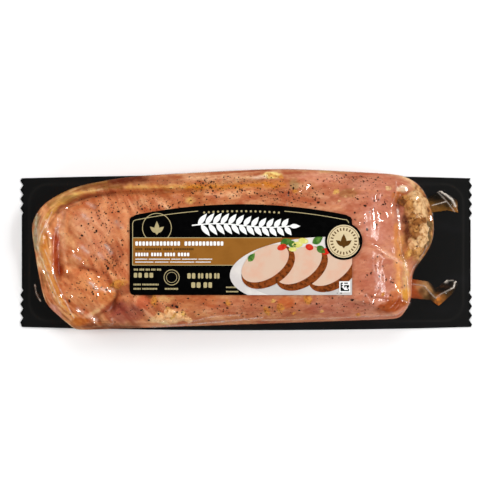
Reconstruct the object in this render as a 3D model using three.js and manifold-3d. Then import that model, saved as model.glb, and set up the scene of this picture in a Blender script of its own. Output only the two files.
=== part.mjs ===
// A marinated pork loin fillet in its vacuum pack, lying on the pack's flat black back with the label up.
// Millimetres, +Z up, +X along the pack. The origin is the middle of the pack's underside.
// The pack is a black web with torn-tooth ends, a clear film drawn tight over the fillet, and a label on it.
// Film, fillet and seasoning are one closed solid here: the film clings to the meat but for two small tents.
import * as THREE from "three";
import { ConvexGeometry } from "three/addons/geometries/ConvexGeometry.js";
import { mergeVertices } from "three/addons/utils/BufferGeometryUtils.js";
import Module from "manifold-3d";

const wasm = await Module();
wasm.setup();

// Driving sizes
const WEB = { length: 305, width: 100.4, bow: 2.2, thickness: 0.6 };
// Teeth torn at the ends of the web. firstTips: how far the first tip is from the upper and the lower corner.
const TEETH = { count: 4, pitch: 6.2, depth: 2, firstTips: { left: [1.6, 3.1], right: [5.1, 1.6] } };
const GAP = 0.3; // between pieces that touch
const SEAT = WEB.thickness + GAP; // underside of the sealed fillet
const SEAL_WIDTH = 5; // the sealed margin along the web's long sides
const WIDEST = 12; // height at which the fillet is widest
const FOOT_INSET = 3.5; // how far the fillet tucks in below its widest
const SHELF = { left: 21.5, right: 19, shoulder: 13 }; // top of the lower layer of meat, and its edge's width
const CROWN = { left: 28, middle: 32, right: 30.5, shoulder: 26 }; // the same for the main muscle
const LABEL = { middle: [-3.5, -2.2], width: 146, height: 51.2, arch: 8.4, thickness: 0.3 };
const LABEL_CORNER = { radius: 3, rise: 0.6 };
// The label holds the film flatter by this share, which fades out from 2 mm inside its edge to 8 mm outside.
const FLATTENED = { share: 0.85, from: -2, to: 8 };
const LOBE = { middle: [64, 7.5], radius: 12.3 }; // the round lobe at the label's right end
// Coarse pepper and mushroom: their radius, how far they keep apart and from edges, and how deep they sit
const GRAINS = { count: 96, least: 0.6, most: 1.15, apart: 7, fromEdge: 5, fromLobe: 16, sunk: 0.15 };
const GRAIN_SEED = 11;
const MOST_LABEL_COVER = 0.3; // no grain lies where the label covers the film more than this
const GRAIN_FIELD = { left: -140, right: 125, bottom: -50, top: 54 };
// The mesh over the fillet: a square grid on top and rings down the side
const MESH = { columns: 66, rows: 34, wallRings: 4, halfLength: 133, halfWidth: 53 };

// The fillet seen from above is a rounded polygon: each flat is [direction in degrees, distance from HEART].
const HEART = [-9, 2];
const OUTER_FLATS = [
  [0, 135], [19, 135.5], [34, 128.5], [65, 93], [87, 56], [93, 52.5], [101, 61.5], [118, 87],
  [147, 123], [187, 132], [194, 131], [230, 108.5], [272, 50], [317, 113], [338, 125],
];
const MAIN_FLATS = [
  [7, 112], [60, 91], [87, 54], [96, 46.5], [118, 81], [184, 114], [219, 103], [272, 49], [317, 112],
];
const ROUNDING = 60; // power of the polygon's corners: higher is sharper
const WELL_INSIDE = 50; // distance inside the outline that stands for any point close to HEART
const WAIST = { direction: -7, depth: 7.5, spread: 7 }; // where the end clump meets the muscle

// Relief of the upper surface. A mound is [x, y, half length, half width, turn in degrees, rise].
const MOUNDS = [
  [-103, -24, 21, 19, -25, 4.5], // the folded lobe
  [-68, -33, 12, 8, 0, 2], // small muscle head beside it
  [-84, -33, 12, 10, 30, -4], // hollow between the two
  [-50, -42, 15, 6, 4, 2], // pale clump at the lower edge
  [112, 17, 14, 30, 4, 6], // seasoning clump on the right end
  [113, 34, 8, 8, 0, 2.5],
  [118, 15, 8, 9, 0, 2.5],
  [110, -2, 8, 8, 0, 2.5],
  [104, -10, 7, 6, 0, 1.5],
  [94, 52, 8, 4, -8, 2], // knob on the upper right edge
  [-80, 20, 34, 12, 12, 1.2],
  [20, -34, 44, 9, -3, 1.0],
];
// A crease is [rise, half width, [x, y], ...]: a rounded ridge, or a groove where the rise is negative.
const CREASES = [
  // the fat lip along the left and upper edges, and the groove inside it
  [3, 3.4, [-138, 4], [-134, 24], [-122, 35.5], [-98, 42], [-77, 43.5], [-37, 43.5], [-4, 44], [12, 48]],
  [-4, 3, [-124, -14], [-123, 8], [-120, 27], [-108, 36], [-90, 38.5], [-62, 39.5], [-30, 40]],
  // round the lobe
  [-3.4, 3, [-117, -9], [-103, -11.5], [-93, -17.5], [-86, -26], [-89, -37], [-97, -44]],
  // between the muscle and the clump
  [-2, 5, [44, 39], [72, 37], [99, 32]],
  [-4, 4.2, [104, 38], [103, 32], [105, 18], [106, 2], [104, -8]],
  // stretched folds at the right end
  [1.4, 2, [97, 44], [98, 33], [99, 15], [98, 4], [103, -11], [103, -31], [97, -40]],
  [1.1, 1.8, [77, 9], [88, 2], [103, -8]],
  [-1.6, 2.4, [88, -40], [99, -33], [104, -20]],
];
// A wave is [rise, run along x, run along y, phase]: a slow swell of the whole upper surface.
const WAVES = [
  [0.5, 9, 17, 0],
  [0.4, -21, 7, 1],
];
const BLEND = 2; // softness of the step from the lower layer to the main muscle
// Tents of film over juice, between the fillet's right end and the web: corner points, each with its height
// over SEAT
const TENTS = [
  [
    [108, 24, 0], [108, 29, 5.5], [124, 31.5, 4.2], [135, 34.2, 4.4],
    [125, 27, 0], [137, 28, 0], [131, 42.3, 0], [142, 30.5, 0.2],
  ],
  [
    [134, 33.6, 3.6], [131, 42.3, 1.6], [141.6, 30.2, 1.9], [143.7, 26, 0],
    [129, 34, 0], [134, 28, 0], [143, 36, 0],
  ],
  [
    [98, -20, 0], [98, -22, 6], [120.7, -22.5, 3.8], [106, -31, 0],
    [116, -28.5, 0], [127, -33, 0], [124, -19, 0], [106, -16, 0],
  ],
  [[120.7, -22.5, 3.6], [128.1, -31, 3.6], [118, -28, 0], [130, -37, 0], [133, -30, 0], [125, -20, 0]],
  [
    [128.1, -31, 3.5], [131.5, -28.6, 3.2], [139, -24.6, 2.4], [142.3, -19.2, 1.2], [130, -37, 0],
    [139, -29, 0], [144, -21, 0], [136, -17, 0], [127, -24, 0],
  ],
];

const DEGREE = Math.PI / 180;
const clamp = (v, low, high) => Math.min(Math.max(v, low), high);
const smooth = (t) => t * t * (3 - 2 * t);
const ramp = (v, low, high) => smooth(clamp((v - low) / (high - low), 0, 1));
const smoothMax = (a, b, blend) => (a + b + Math.hypot(a - b, blend)) / 2;

// How far out a point is, as a share of the way to a rounded polygon's outline, and its distance inside it.
function reach(flats, x, y) {
  let sum = 0;
  let weighted = 0;
  for (const [direction, distance] of flats) {
    const turn = direction * DEGREE;
    const along = (x - HEART[0]) * Math.cos(turn) + (y - HEART[1]) * Math.sin(turn);
    const share = Math.max(along / distance, 0) ** ROUNDING;
    sum += share;
    weighted += share * distance;
  }
  if (sum < 1e-300) return { share: 0, inside: WELL_INSIDE };
  const share = sum ** (1 / ROUNDING);
  return { share, inside: ((1 - share) * weighted) / sum };
}

// How far the outline is drawn in at the waist, in a direction from HEART.
function drawnIn(angle) {
  const turn = angle / DEGREE - WAIST.direction;
  return WAIST.depth * Math.exp(-((turn / WAIST.spread) ** 2));
}

// The fillet's outline as a distance from HEART.
function outlineAt(angle) {
  const { share } = reach(OUTER_FLATS, HEART[0] + Math.cos(angle), HEART[1] + Math.sin(angle));
  return 1 / share - drawnIn(angle);
}

// Distance inside the fillet's outline.
function insideOutline(x, y) {
  return reach(OUTER_FLATS, x, y).inside - drawnIn(Math.atan2(y - HEART[1], x - HEART[0]));
}

function mound(x, y, [mx, my, long, wide, turn, rise]) {
  const c = Math.cos(turn * DEGREE);
  const s = Math.sin(turn * DEGREE);
  const along = ((x - mx) * c + (y - my) * s) / long;
  const across = ((y - my) * c - (x - mx) * s) / wide;
  const left = 1 - Math.hypot(along, across);
  return left > 0 ? rise * smooth(Math.min(left * 1.4, 1)) : 0;
}

function crease(x, y, [rise, halfWidth, ...path]) {
  let nearest = Infinity;
  for (let i = 0; i + 1 < path.length; i++) {
    const [ax, ay] = path[i];
    const [bx, by] = path[i + 1];
    const t = clamp(((x - ax) * (bx - ax) + (y - ay) * (by - ay)) / ((bx - ax) ** 2 + (by - ay) ** 2), 0, 1);
    nearest = Math.min(nearest, Math.hypot(x - ax - t * (bx - ax), y - ay - t * (by - ay)));
  }
  return rise * Math.exp(-((nearest / halfWidth) ** 2));
}

const wave = (x, y, [rise, alongX, alongY, phase]) => rise * Math.sin(x / alongX + y / alongY + phase);

// A quarter-round shoulder: from 0 at the edge to 1 where it is `width` inside.
const shoulder = (inside, width) => Math.sqrt(1 - (1 - clamp(inside / width, 0, 1)) ** 2);

// 1 under the label, falling to 0 a little outside it.
function labelCover(x, y) {
  const dx = Math.abs(x - LABEL.middle[0]) - LABEL.width / 2;
  const dy = Math.abs(y - LABEL.middle[1]) - LABEL.height / 2;
  return 1 - ramp(Math.max(dx, dy), FLATTENED.from, FLATTENED.to);
}

// Height of the sealed fillet's upper surface.
function topHeight(x, y) {
  const inside = insideOutline(x, y);
  const main = reach(MAIN_FLATS, x, y);
  const leftness = 1 - ramp(x, -110, -30);
  const rightness = ramp(x, 40, 110);
  const shelfTop = SHELF.left + (SHELF.right - SHELF.left) * rightness;
  const { left, middle, right } = CROWN;
  const crown = middle + (left - middle) * leftness + (right - middle) * rightness;
  const shelf = WIDEST + (shelfTop - WIDEST) * shoulder(inside, SHELF.shoulder);
  const muscle = WIDEST + (crown - WIDEST) * shoulder(main.inside, CROWN.shoulder);
  let relief = 0;
  for (const form of MOUNDS) relief += mound(x, y, form);
  for (const form of CREASES) relief += crease(x, y, form);
  for (const form of WAVES) relief += wave(x, y, form);
  const free = 1 - FLATTENED.share * labelCover(x, y);
  return smoothMax(shelf, muscle, BLEND) + relief * ramp(inside, -1, 7) * free;
}

// A three.js geometry as a solid, and a solid as a geometry.
function solid(geometry) {
  const bare = geometry.clone();
  bare.deleteAttribute("normal");
  bare.deleteAttribute("uv");
  const merged = mergeVertices(bare, 1e-4);
  const mesh = new wasm.Mesh({
    numProp: 3,
    vertProperties: merged.attributes.position.array,
    triVerts: new Uint32Array(merged.index.array),
  });
  return new wasm.Manifold(mesh);
}

function geometryOf(made) {
  const mesh = made.getMesh();
  const geometry = new THREE.BufferGeometry();
  geometry.setAttribute("position", new THREE.BufferAttribute(new Float32Array(mesh.vertProperties), 3));
  geometry.setIndex(new THREE.BufferAttribute(new Uint32Array(mesh.triVerts), 1));
  geometry.computeVertexNormals();
  return geometry;
}

// One end of the web, from its upper corner to its lower one: a straight edge with teeth near each corner.
function toothedEnd(firstTips) {
  const straight = WEB.length / 2 - TEETH.depth / 2;
  const corner = WEB.width / 2;
  const teeth = (fromCorner) => {
    const points = [[straight, corner]];
    if (fromCorner > TEETH.pitch / 2) {
      points.push([straight - TEETH.depth / 2, corner - fromCorner + TEETH.pitch / 2]);
    }
    for (let i = 0; i < TEETH.count; i++) {
      const tip = corner - fromCorner - i * TEETH.pitch;
      points.push([straight + TEETH.depth / 2, tip], [straight - TEETH.depth / 2, tip - TEETH.pitch / 2]);
    }
    const last = points[points.length - 1][1];
    return points.concat([[straight, last - TEETH.pitch / 4]]);
  };
  const lower = teeth(firstTips[1]).map(([x, y]) => [x, -y]);
  return teeth(firstTips[0]).concat(lower.reverse());
}

// The black web: a flat sheet whose long sides bow out a little.
function webGeometry() {
  const steps = 12;
  const straight = WEB.length / 2 - TEETH.depth / 2;
  const side = [];
  for (let i = 1; i < steps; i++) {
    const x = (-1 + (2 * i) / steps) * straight;
    side.push([x, WEB.width / 2 + WEB.bow * (1 - (x / straight) ** 2)]);
  }
  const left = toothedEnd(TEETH.firstTips.left).map(([x, y]) => [-x, y]);
  const right = toothedEnd(TEETH.firstTips.right);
  const far = side.map(([x, y]) => [-x, -y]);
  const outline = [...side, ...right, ...far, ...left.reverse()];
  const shape = new THREE.Shape(outline.map(([x, y]) => new THREE.Vector2(x, y)));
  return new THREE.ExtrudeGeometry(shape, { depth: WEB.thickness, bevelEnabled: false });
}

// Where the fillet's side meets the web, below a point of its rim.
function footPoint(x, y) {
  const most = WEB.width / 2 - SEAL_WIDTH;
  const shrink = 1 - FOOT_INSET / Math.hypot(x - HEART[0], y - HEART[1]);
  const inner = [HEART[0] + (x - HEART[0]) * shrink, HEART[1] + (y - HEART[1]) * shrink];
  return [inner[0], clamp(Math.abs(y) > most ? y : inner[1], -most, most)];
}

// The body of film and fillet: a square grid over the upper surface, a wall that tucks under, a flat base.
function filletBody() {
  const { columns, rows, wallRings, halfLength, halfWidth } = MESH;
  const positions = [];
  const index = [];
  const rimPoint = (a, b) => {
    const angle = Math.atan2(b * halfWidth, a * halfLength);
    const distance = outlineAt(angle);
    return [HEART[0] + distance * Math.cos(angle), HEART[1] + distance * Math.sin(angle)];
  };
  const gridVertex = (i, j) => {
    const a = (2 * i) / columns - 1;
    const b = (2 * j) / rows - 1;
    const ring = Math.max(Math.abs(a), Math.abs(b));
    if (ring === 0) return [...HEART, topHeight(...HEART)];
    const [rx, ry] = rimPoint(a / ring, b / ring);
    const x = HEART[0] + ring * (rx - HEART[0]);
    const y = HEART[1] + ring * (ry - HEART[1]);
    return [x, y, ring > 0.999 ? WIDEST : topHeight(x, y)];
  };
  for (let j = 0; j <= rows; j++) {
    for (let i = 0; i <= columns; i++) positions.push(...gridVertex(i, j));
  }
  const at = (i, j) => j * (columns + 1) + i;
  for (let j = 0; j < rows; j++) {
    for (let i = 0; i < columns; i++) {
      const [a, b, c, d] = [at(i, j), at(i + 1, j), at(i + 1, j + 1), at(i, j + 1)];
      // The diagonal runs along the ring, so that the corners of the grid stay well shaped.
      const rising = (i < columns / 2) === (j < rows / 2);
      if (rising) index.push(a, b, c, a, c, d);
      else index.push(a, b, d, b, c, d);
    }
  }
  const rim = [];
  for (let i = 0; i < columns; i++) rim.push(at(i, 0));
  for (let j = 0; j < rows; j++) rim.push(at(columns, j));
  for (let i = columns; i > 0; i--) rim.push(at(i, rows));
  for (let j = rows; j > 0; j--) rim.push(at(0, j));
  let above = rim;
  for (let k = 1; k <= wallRings; k++) {
    const turn = ((k / wallRings) * Math.PI) / 2;
    const tuck = 1 - Math.cos(turn);
    const below = rim.map((v) => {
      const [x, y] = [positions[3 * v], positions[3 * v + 1]];
      const [fx, fy] = footPoint(x, y);
      positions.push(x + (fx - x) * tuck, y + (fy - y) * tuck, SEAT + (WIDEST - SEAT) * (1 - Math.sin(turn)));
      return positions.length / 3 - 1;
    });
    for (let n = 0; n < rim.length; n++) {
      const m = (n + 1) % rim.length;
      index.push(above[n], below[n], below[m], above[n], below[m], above[m]);
    }
    above = below;
  }
  const base = above.map((v) => new THREE.Vector2(positions[3 * v], positions[3 * v + 1]));
  for (const [p, q, r] of THREE.ShapeUtils.triangulateShape(base, [])) {
    index.push(above[p], above[r], above[q]);
  }
  const geometry = new THREE.BufferGeometry();
  geometry.setAttribute("position", new THREE.Float32BufferAttribute(positions, 3));
  geometry.setIndex(index);
  return solid(geometry);
}

// A small repeatable random source.
function randomSource(seed) {
  let state = seed;
  return () => {
    state = (state * 1664525 + 1013904223) % 4294967296;
    return state / 4294967296;
  };
}

// Coarse pepper and dried mushroom under the film, half sunk, spread evenly outside the label.
function grains() {
  const random = randomSource(GRAIN_SEED);
  const made = [];
  const kept = [];
  while (made.length < GRAINS.count) {
    const x = GRAIN_FIELD.left + (GRAIN_FIELD.right - GRAIN_FIELD.left) * random();
    const y = GRAIN_FIELD.bottom + (GRAIN_FIELD.top - GRAIN_FIELD.bottom) * random();
    const size = GRAINS.least + (GRAINS.most - GRAINS.least) * random() ** 2;
    const turn = new THREE.Euler(2 * Math.PI * random(), 2 * Math.PI * random(), 2 * Math.PI * random());
    const inside = insideOutline(x, y);
    const crowded = kept.some(([kx, ky]) => Math.hypot(x - kx, y - ky) < GRAINS.apart);
    const nearLobe = Math.hypot(x - LOBE.middle[0], y - LOBE.middle[1]) < GRAINS.fromLobe;
    const covered = labelCover(x, y) > MOST_LABEL_COVER;
    if (inside < GRAINS.fromEdge || crowded || nearLobe || covered) continue;
    kept.push([x, y]);
    const grain = new THREE.IcosahedronGeometry(size, 0);
    grain.scale(1, 0.8, 0.7);
    grain.applyMatrix4(new THREE.Matrix4().makeRotationFromEuler(turn));
    grain.translate(x, y, topHeight(x, y) - GRAINS.sunk);
    made.push(solid(grain));
  }
  return made;
}

function tent(corners) {
  const points = corners.map(([x, y, z]) => new THREE.Vector3(x, y, SEAT + z));
  return solid(new ConvexGeometry(points));
}

function sealedFilletGeometry() {
  let body = filletBody();
  for (const corners of TENTS) body = body.add(tent(corners));
  for (const grain of grains()) body = body.add(grain);
  const largest = body.decompose().reduce((a, b) => (a.volume() > b.volume() ? a : b));
  return geometryOf(largest);
}

// The label's outline: a bar with an arched top edge, rounded corners and a round lobe at its right end.
function labelOutline() {
  const { middle, width, height, arch } = LABEL;
  const { radius: corner, rise: cornerRise } = LABEL_CORNER;
  const left = middle[0] - width / 2;
  const right = middle[0] + width / 2;
  const bottom = middle[1] - height / 2;
  const top = bottom + height;
  const shape = new THREE.Shape();
  shape.moveTo(left + corner, bottom);
  shape.lineTo(right - corner, bottom);
  shape.quadraticCurveTo(right, bottom, right, bottom + corner);
  shape.lineTo(right, top - corner);
  shape.quadraticCurveTo(right, top, right - corner, top + cornerRise);
  shape.quadraticCurveTo(middle[0], top + 2 * arch, left + corner, top + cornerRise);
  shape.quadraticCurveTo(left, top, left, top - corner);
  shape.lineTo(left, bottom + corner);
  shape.quadraticCurveTo(left, bottom, left + corner, bottom);
  return shape;
}

// An upright prism on a flat shape, taller than the pack.
function uprightPrism(shape, segments) {
  const depth = 60;
  return solid(new THREE.ExtrudeGeometry(shape, { depth, bevelEnabled: false, curveSegments: segments }));
}

// The highest point of the upper surface within a small distance.
function highestNear(x, y, distance) {
  let highest = topHeight(x, y);
  for (let turn = 0; turn < 8; turn++) {
    const angle = (turn * Math.PI) / 4;
    highest = Math.max(highest, topHeight(x + distance * Math.cos(angle), y + distance * Math.sin(angle)));
  }
  return highest;
}

// A thin sheet that follows the film from just above it, cut to the label's outline.
function labelGeometry() {
  const margin = 3;
  const step = 6;
  const { middle, width, height, arch } = LABEL;
  const low = [middle[0] - width / 2 - margin, middle[1] - height / 2 - margin];
  const high = [LOBE.middle[0] + LOBE.radius + margin, middle[1] + height / 2 + arch + margin];
  const columns = Math.ceil((high[0] - low[0]) / step);
  const rows = Math.ceil((high[1] - low[1]) / step);
  const sheet = new THREE.BoxGeometry(high[0] - low[0], high[1] - low[1], 1, columns, rows, 1);
  sheet.translate((low[0] + high[0]) / 2, (low[1] + high[1]) / 2, 0);
  const place = sheet.attributes.position;
  for (let i = 0; i < place.count; i++) {
    const film = highestNear(place.getX(i), place.getY(i), step / 3) + GAP;
    place.setZ(i, place.getZ(i) > 0 ? film + LABEL.thickness : film);
  }
  const disc = new THREE.Shape().absarc(...LOBE.middle, LOBE.radius, 0, 2 * Math.PI);
  const outline = uprightPrism(labelOutline(), 16).add(uprightPrism(disc, 18));
  return geometryOf(solid(sheet).intersect(outline));
}

function piece(name, geometry, colour, roughness) {
  const material = new THREE.MeshStandardMaterial({ color: colour, roughness, metalness: 0 });
  const mesh = new THREE.Mesh(geometry, material);
  mesh.name = name;
  return mesh;
}

const pack = new THREE.Group();
pack.add(piece("backing_web", webGeometry(), 0x1a1a1b, 0.35));
pack.add(piece("film_sealed_fillet", sealedFilletGeometry(), 0xcc8264, 0.2));
pack.add(piece("label", labelGeometry(), 0x070707, 0.45));

export default pack;
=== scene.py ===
# A marinated pork loin fillet in its vacuum pack, seen from straight above.
# Shapes are worked out in millimetres in the frame's own axes and turned into metres as each piece is finished.
import math
import random
from functools import lru_cache

import bmesh
import bpy
import numpy as np
from mathutils import Matrix, Vector, noise


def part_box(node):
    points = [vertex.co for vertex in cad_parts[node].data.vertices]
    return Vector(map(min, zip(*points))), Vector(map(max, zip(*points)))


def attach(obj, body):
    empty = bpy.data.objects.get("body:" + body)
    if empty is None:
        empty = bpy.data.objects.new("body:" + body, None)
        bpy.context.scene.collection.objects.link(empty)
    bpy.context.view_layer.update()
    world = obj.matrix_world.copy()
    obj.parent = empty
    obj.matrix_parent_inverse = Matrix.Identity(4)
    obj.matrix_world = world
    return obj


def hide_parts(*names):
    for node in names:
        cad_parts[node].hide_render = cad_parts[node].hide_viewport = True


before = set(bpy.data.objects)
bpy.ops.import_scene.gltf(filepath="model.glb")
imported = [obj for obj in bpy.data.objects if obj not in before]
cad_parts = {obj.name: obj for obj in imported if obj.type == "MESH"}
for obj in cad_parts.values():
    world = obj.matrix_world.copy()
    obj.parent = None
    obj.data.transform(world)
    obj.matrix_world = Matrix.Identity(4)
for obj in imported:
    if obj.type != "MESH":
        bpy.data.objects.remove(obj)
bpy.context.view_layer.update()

MM = 0.001
# Without a seed, the noise that roughens the grains would follow the clock and differ from run to run.
noise.seed_set(11)

# The camera and the photo's own frame
PHOTO_MIDDLE = 250
MM_PER_PIXEL = 0.6755
AXIS_SPOT = (2.57, 1.76)
CAMERA_HEIGHT = 1100
SENSOR = 36

# Sizes that the pieces share
WEB_LOW, WEB_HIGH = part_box("backing_web")
WEB_TOP = WEB_HIGH.z / MM
WEB_HALF_LENGTH = WEB_HIGH.x / MM
WEB_HALF_WIDTH = 50.2
WEB_BOW = 2.2
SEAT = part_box("film_sealed_fillet")[0].z / MM
WIDEST = 12
SHELF_LEFT, SHELF_RIGHT = 21.5, 19
CROWN_LEFT, CROWN_MIDDLE, CROWN_RIGHT = 28, 32, 30.5
SEAL_WIDTH = 5
FOOT_INSET = 3.5
FILM_GAP = 0.4

# The outline of the fillet is a rounded polygon: each flat is a direction in degrees and a distance from HEART.
HEART = (-9, 2)
OUTER_FLATS = [
    (0, 135), (19, 135.5), (34, 128.5), (65, 93), (87, 56), (93, 52.5), (101, 61.5), (118, 87),
    (147, 123), (187, 132), (194, 131), (230, 108.5), (272, 50), (317, 113), (338, 125),
]
MAIN_FLATS = [
    (7, 112), (60, 91), (87, 54), (96, 46.5), (118, 81), (184, 114), (219, 103), (272, 49), (317, 112),
]
ROUNDING = 60
WAIST_DIRECTION, WAIST_DEPTH, WAIST_SPREAD = -7, 7.5, 7

# Relief of the upper surface. A mound is x, y, half length, half width, turn in degrees, rise.
MOUNDS = [
    (-103, -24, 21, 19, -25, 4.5),
    (-68, -33, 12, 8, 0, 2),
    (-84, -33, 12, 10, 30, -4),
    (-50, -42, 15, 6, 4, 2),
    (112, 17, 14, 30, 4, 6),
    (113, 34, 8, 8, 0, 2.5),
    (118, 15, 8, 9, 0, 2.5),
    (110, -2, 8, 8, 0, 2.5),
    (104, -10, 7, 6, 0, 1.5),
    (94, 52, 8, 4, -8, 2),
    (-80, 20, 34, 12, 12, 1.2),
    (20, -34, 44, 9, -3, 1.0),
]
# A crease is a rise, a half width and a path.
CREASES = [
    (3, 3.4, [(-138, 4), (-134, 24), (-122, 35.5), (-98, 42), (-77, 43.5), (-37, 43.5), (-4, 44), (12, 48)]),
    (-4, 3, [(-124, -14), (-123, 8), (-120, 27), (-108, 36), (-90, 38.5), (-62, 39.5), (-30, 40)]),
    (-3.4, 3, [(-117, -9), (-103, -11.5), (-93, -17.5), (-86, -26), (-89, -37), (-97, -44)]),
    (-2, 5, [(44, 39), (72, 37), (99, 32)]),
    (-4, 4.2, [(104, 38), (103, 32), (105, 18), (106, 2), (104, -8)]),
    (1.4, 2, [(97, 44), (98, 33), (99, 15), (98, 4), (103, -11), (103, -31), (97, -40)]),
    (1.1, 1.8, [(77, 9), (88, 2), (103, -8)]),
    (-1.6, 2.4, [(88, -40), (99, -33), (104, -20)]),
]

LABEL_LEFT, LABEL_BOTTOM, LABEL_WIDTH, LABEL_SHOULDER, LABEL_ARCH = -76.5, -27.8, 146, 51.2, 8.4
LABEL_CORNER = 3
LABEL_LIFT = 0.85
LABEL_THICKNESS = 0.25
LOBE_MIDDLE, LOBE_RADIUS = (64, 7.5), 12.3


def smooth(t):
    t = np.clip(t, 0, 1)
    return t * t * (3 - 2 * t)


def ramp(v, low, high):
    return smooth((v - low) / (high - low))


def reach(flats, x, y):
    """Share of the way from HEART to the outline, and the distance inside the outline."""
    total = np.zeros_like(x)
    weighted = np.zeros_like(x)
    for direction, distance in flats:
        turn = math.radians(direction)
        along = (x - HEART[0]) * math.cos(turn) + (y - HEART[1]) * math.sin(turn)
        part = np.maximum(along / distance, 0) ** ROUNDING
        total += part
        weighted += part * distance
    far = total > 1e-280
    safe = np.where(far, total, 1)
    share = np.where(far, safe ** (1 / ROUNDING), 0)
    return share, np.where(far, (1 - share) * weighted / safe, 50)


def waist(angle):
    """How far the outline is drawn in at the waist, seen from HEART in this direction."""
    turn = np.degrees(angle) - WAIST_DIRECTION
    return WAIST_DEPTH * np.exp(-((turn / WAIST_SPREAD) ** 2))


def outline_distance(angle):
    share, _ = reach(OUTER_FLATS, HEART[0] + np.cos(angle), HEART[1] + np.sin(angle))
    return 1 / share - waist(angle)


def outer_inside(x, y):
    """Distance inside the fillet's outline."""
    _, inside = reach(OUTER_FLATS, x, y)
    return inside - waist(np.arctan2(y - HEART[1], x - HEART[0]))


def oval_distance(x, y, middle, long, wide, turn):
    """0 at the middle of an oval and 1 on its edge."""
    c, s = math.cos(math.radians(turn)), math.sin(math.radians(turn))
    along = ((x - middle[0]) * c + (y - middle[1]) * s) / long
    across = ((y - middle[1]) * c - (x - middle[0]) * s) / wide
    return np.hypot(along, across)


def mound(x, y, mx, my, long, wide, turn, rise):
    return rise * smooth((1 - oval_distance(x, y, (mx, my), long, wide, turn)) * 1.4)


def path_distance(x, y, path):
    nearest = np.full_like(x, 1e9)
    for (ax, ay), (bx, by) in zip(path, path[1:]):
        t = np.clip(((x - ax) * (bx - ax) + (y - ay) * (by - ay)) / ((bx - ax) ** 2 + (by - ay) ** 2), 0, 1)
        nearest = np.minimum(nearest, np.hypot(x - ax - t * (bx - ax), y - ay - t * (by - ay)))
    return nearest


def band(x, y, path, half_width):
    """1 on a path, fading to either side."""
    return np.exp(-((path_distance(x, y, path) / half_width) ** 2))


def shoulder(inside, width):
    return np.sqrt(1 - (1 - np.clip(inside / width, 0, 1)) ** 2)


def label_cover(x, y):
    """1 under the label, falling to 0 a little outside it, where the film is free again."""
    dx = np.abs(x - LABEL_LEFT - LABEL_WIDTH / 2) - LABEL_WIDTH / 2
    dy = np.abs(y - LABEL_BOTTOM - LABEL_SHOULDER / 2) - LABEL_SHOULDER / 2
    return 1 - ramp(np.maximum(dx, dy), -2, 8)


def top_height(x, y, groove_share=1.0):
    """Height of the fillet's upper surface. The film spans the grooves, so it keeps only a share of their depth."""
    inside = outer_inside(x, y)
    _, main_inside = reach(MAIN_FLATS, x, y)
    leftness = 1 - ramp(x, -110, -30)
    rightness = ramp(x, 40, 110)
    shelf_top = SHELF_LEFT + (SHELF_RIGHT - SHELF_LEFT) * rightness
    crown = CROWN_MIDDLE + (CROWN_LEFT - CROWN_MIDDLE) * leftness + (CROWN_RIGHT - CROWN_MIDDLE) * rightness
    shelf = WIDEST + (shelf_top - WIDEST) * shoulder(inside, 13)
    muscle = WIDEST + (crown - WIDEST) * shoulder(main_inside, 26)
    base = (shelf + muscle + np.hypot(shelf - muscle, 2)) / 2
    relief = 0.5 * np.sin(x / 9 + y / 17) + 0.4 * np.sin(y / 7 - x / 21 + 1)
    for form in MOUNDS:
        relief = relief + mound(x, y, *form)
    for rise, half_width, path in CREASES:
        share = groove_share if rise < 0 else 1
        relief = relief + share * rise * band(x, y, path, half_width)
    return base + relief * ramp(inside, -1, 7) * (1 - 0.85 * label_cover(x, y))


def from_photo(px, py, height):
    """The place, in mm, that a pixel of the photo shows at a height over the floor."""
    scale = MM_PER_PIXEL * (1 - height / CAMERA_HEIGHT)
    return (px - PHOTO_MIDDLE) * scale + AXIS_SPOT[0], (PHOTO_MIDDLE - py) * scale + AXIS_SPOT[1]


@lru_cache(maxsize=None)
def on_pack(px, py):
    """The place, in mm, that a pixel of the photo shows on the fillet, or on the web around it."""
    height = 20
    for _ in range(4):
        x, y = from_photo(px, py, height)
        spot = np.array([x]), np.array([y])
        height = float(top_height(*spot)[0]) if outer_inside(*spot)[0] > 0 else WEB_TOP
    return x, y


def path_on_pack(path):
    return [on_pack(*spot) for spot in path]


# Fine folds of the meat, as photo paths: rise, half width, path
FINE_FOLDS = [
    (0.8, 1.0, [(113, 291), (111, 299), (102, 307), (91, 314), (84, 318)]),
    (-1.2, 1.0, [(117, 291), (114, 301), (105, 310), (94, 318)]),
    (-0.9, 0.9, [(80, 268), (92, 270), (103, 280), (112, 287)]),
    (0.7, 1.2, [(63, 214), (62, 232), (63, 250), (66, 262)]),
    (-0.8, 1.0, [(57, 228), (56, 245), (58, 262), (60, 280)]),
    (0.6, 0.9, [(60, 204), (78, 192.5), (108, 188.5), (190, 187.5), (262, 184)]),
    (-0.7, 0.8, [(66, 203), (90, 196), (112, 192.5), (190, 192)]),
    (0.5, 0.8, [(118, 236), (122, 248), (128, 262)]),
    (-0.6, 0.8, [(100, 232), (110, 246), (118, 262)]),
    (0.5, 1.2, [(136, 298), (134, 304), (138, 310)]),
    (-0.7, 1.0, [(116, 304), (124, 312), (134, 318)]),
    (-0.5, 0.8, [(362, 292), (376, 298), (392, 300), (404, 304)]),
    (0.4, 1.0, [(396, 230), (395, 250), (392, 280)]),
    (-0.4, 0.8, [(340, 196), (352, 193), (366, 194)]),
]


def flesh_run(x, y):
    """Distances along and across the muscle, which runs aslant on the left of the fillet and along it on the right."""
    turn = math.radians(40) * (1 - ramp(x, -110, -40))
    return x * np.cos(turn) - y * np.sin(turn), x * np.sin(turn) + y * np.cos(turn)


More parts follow.
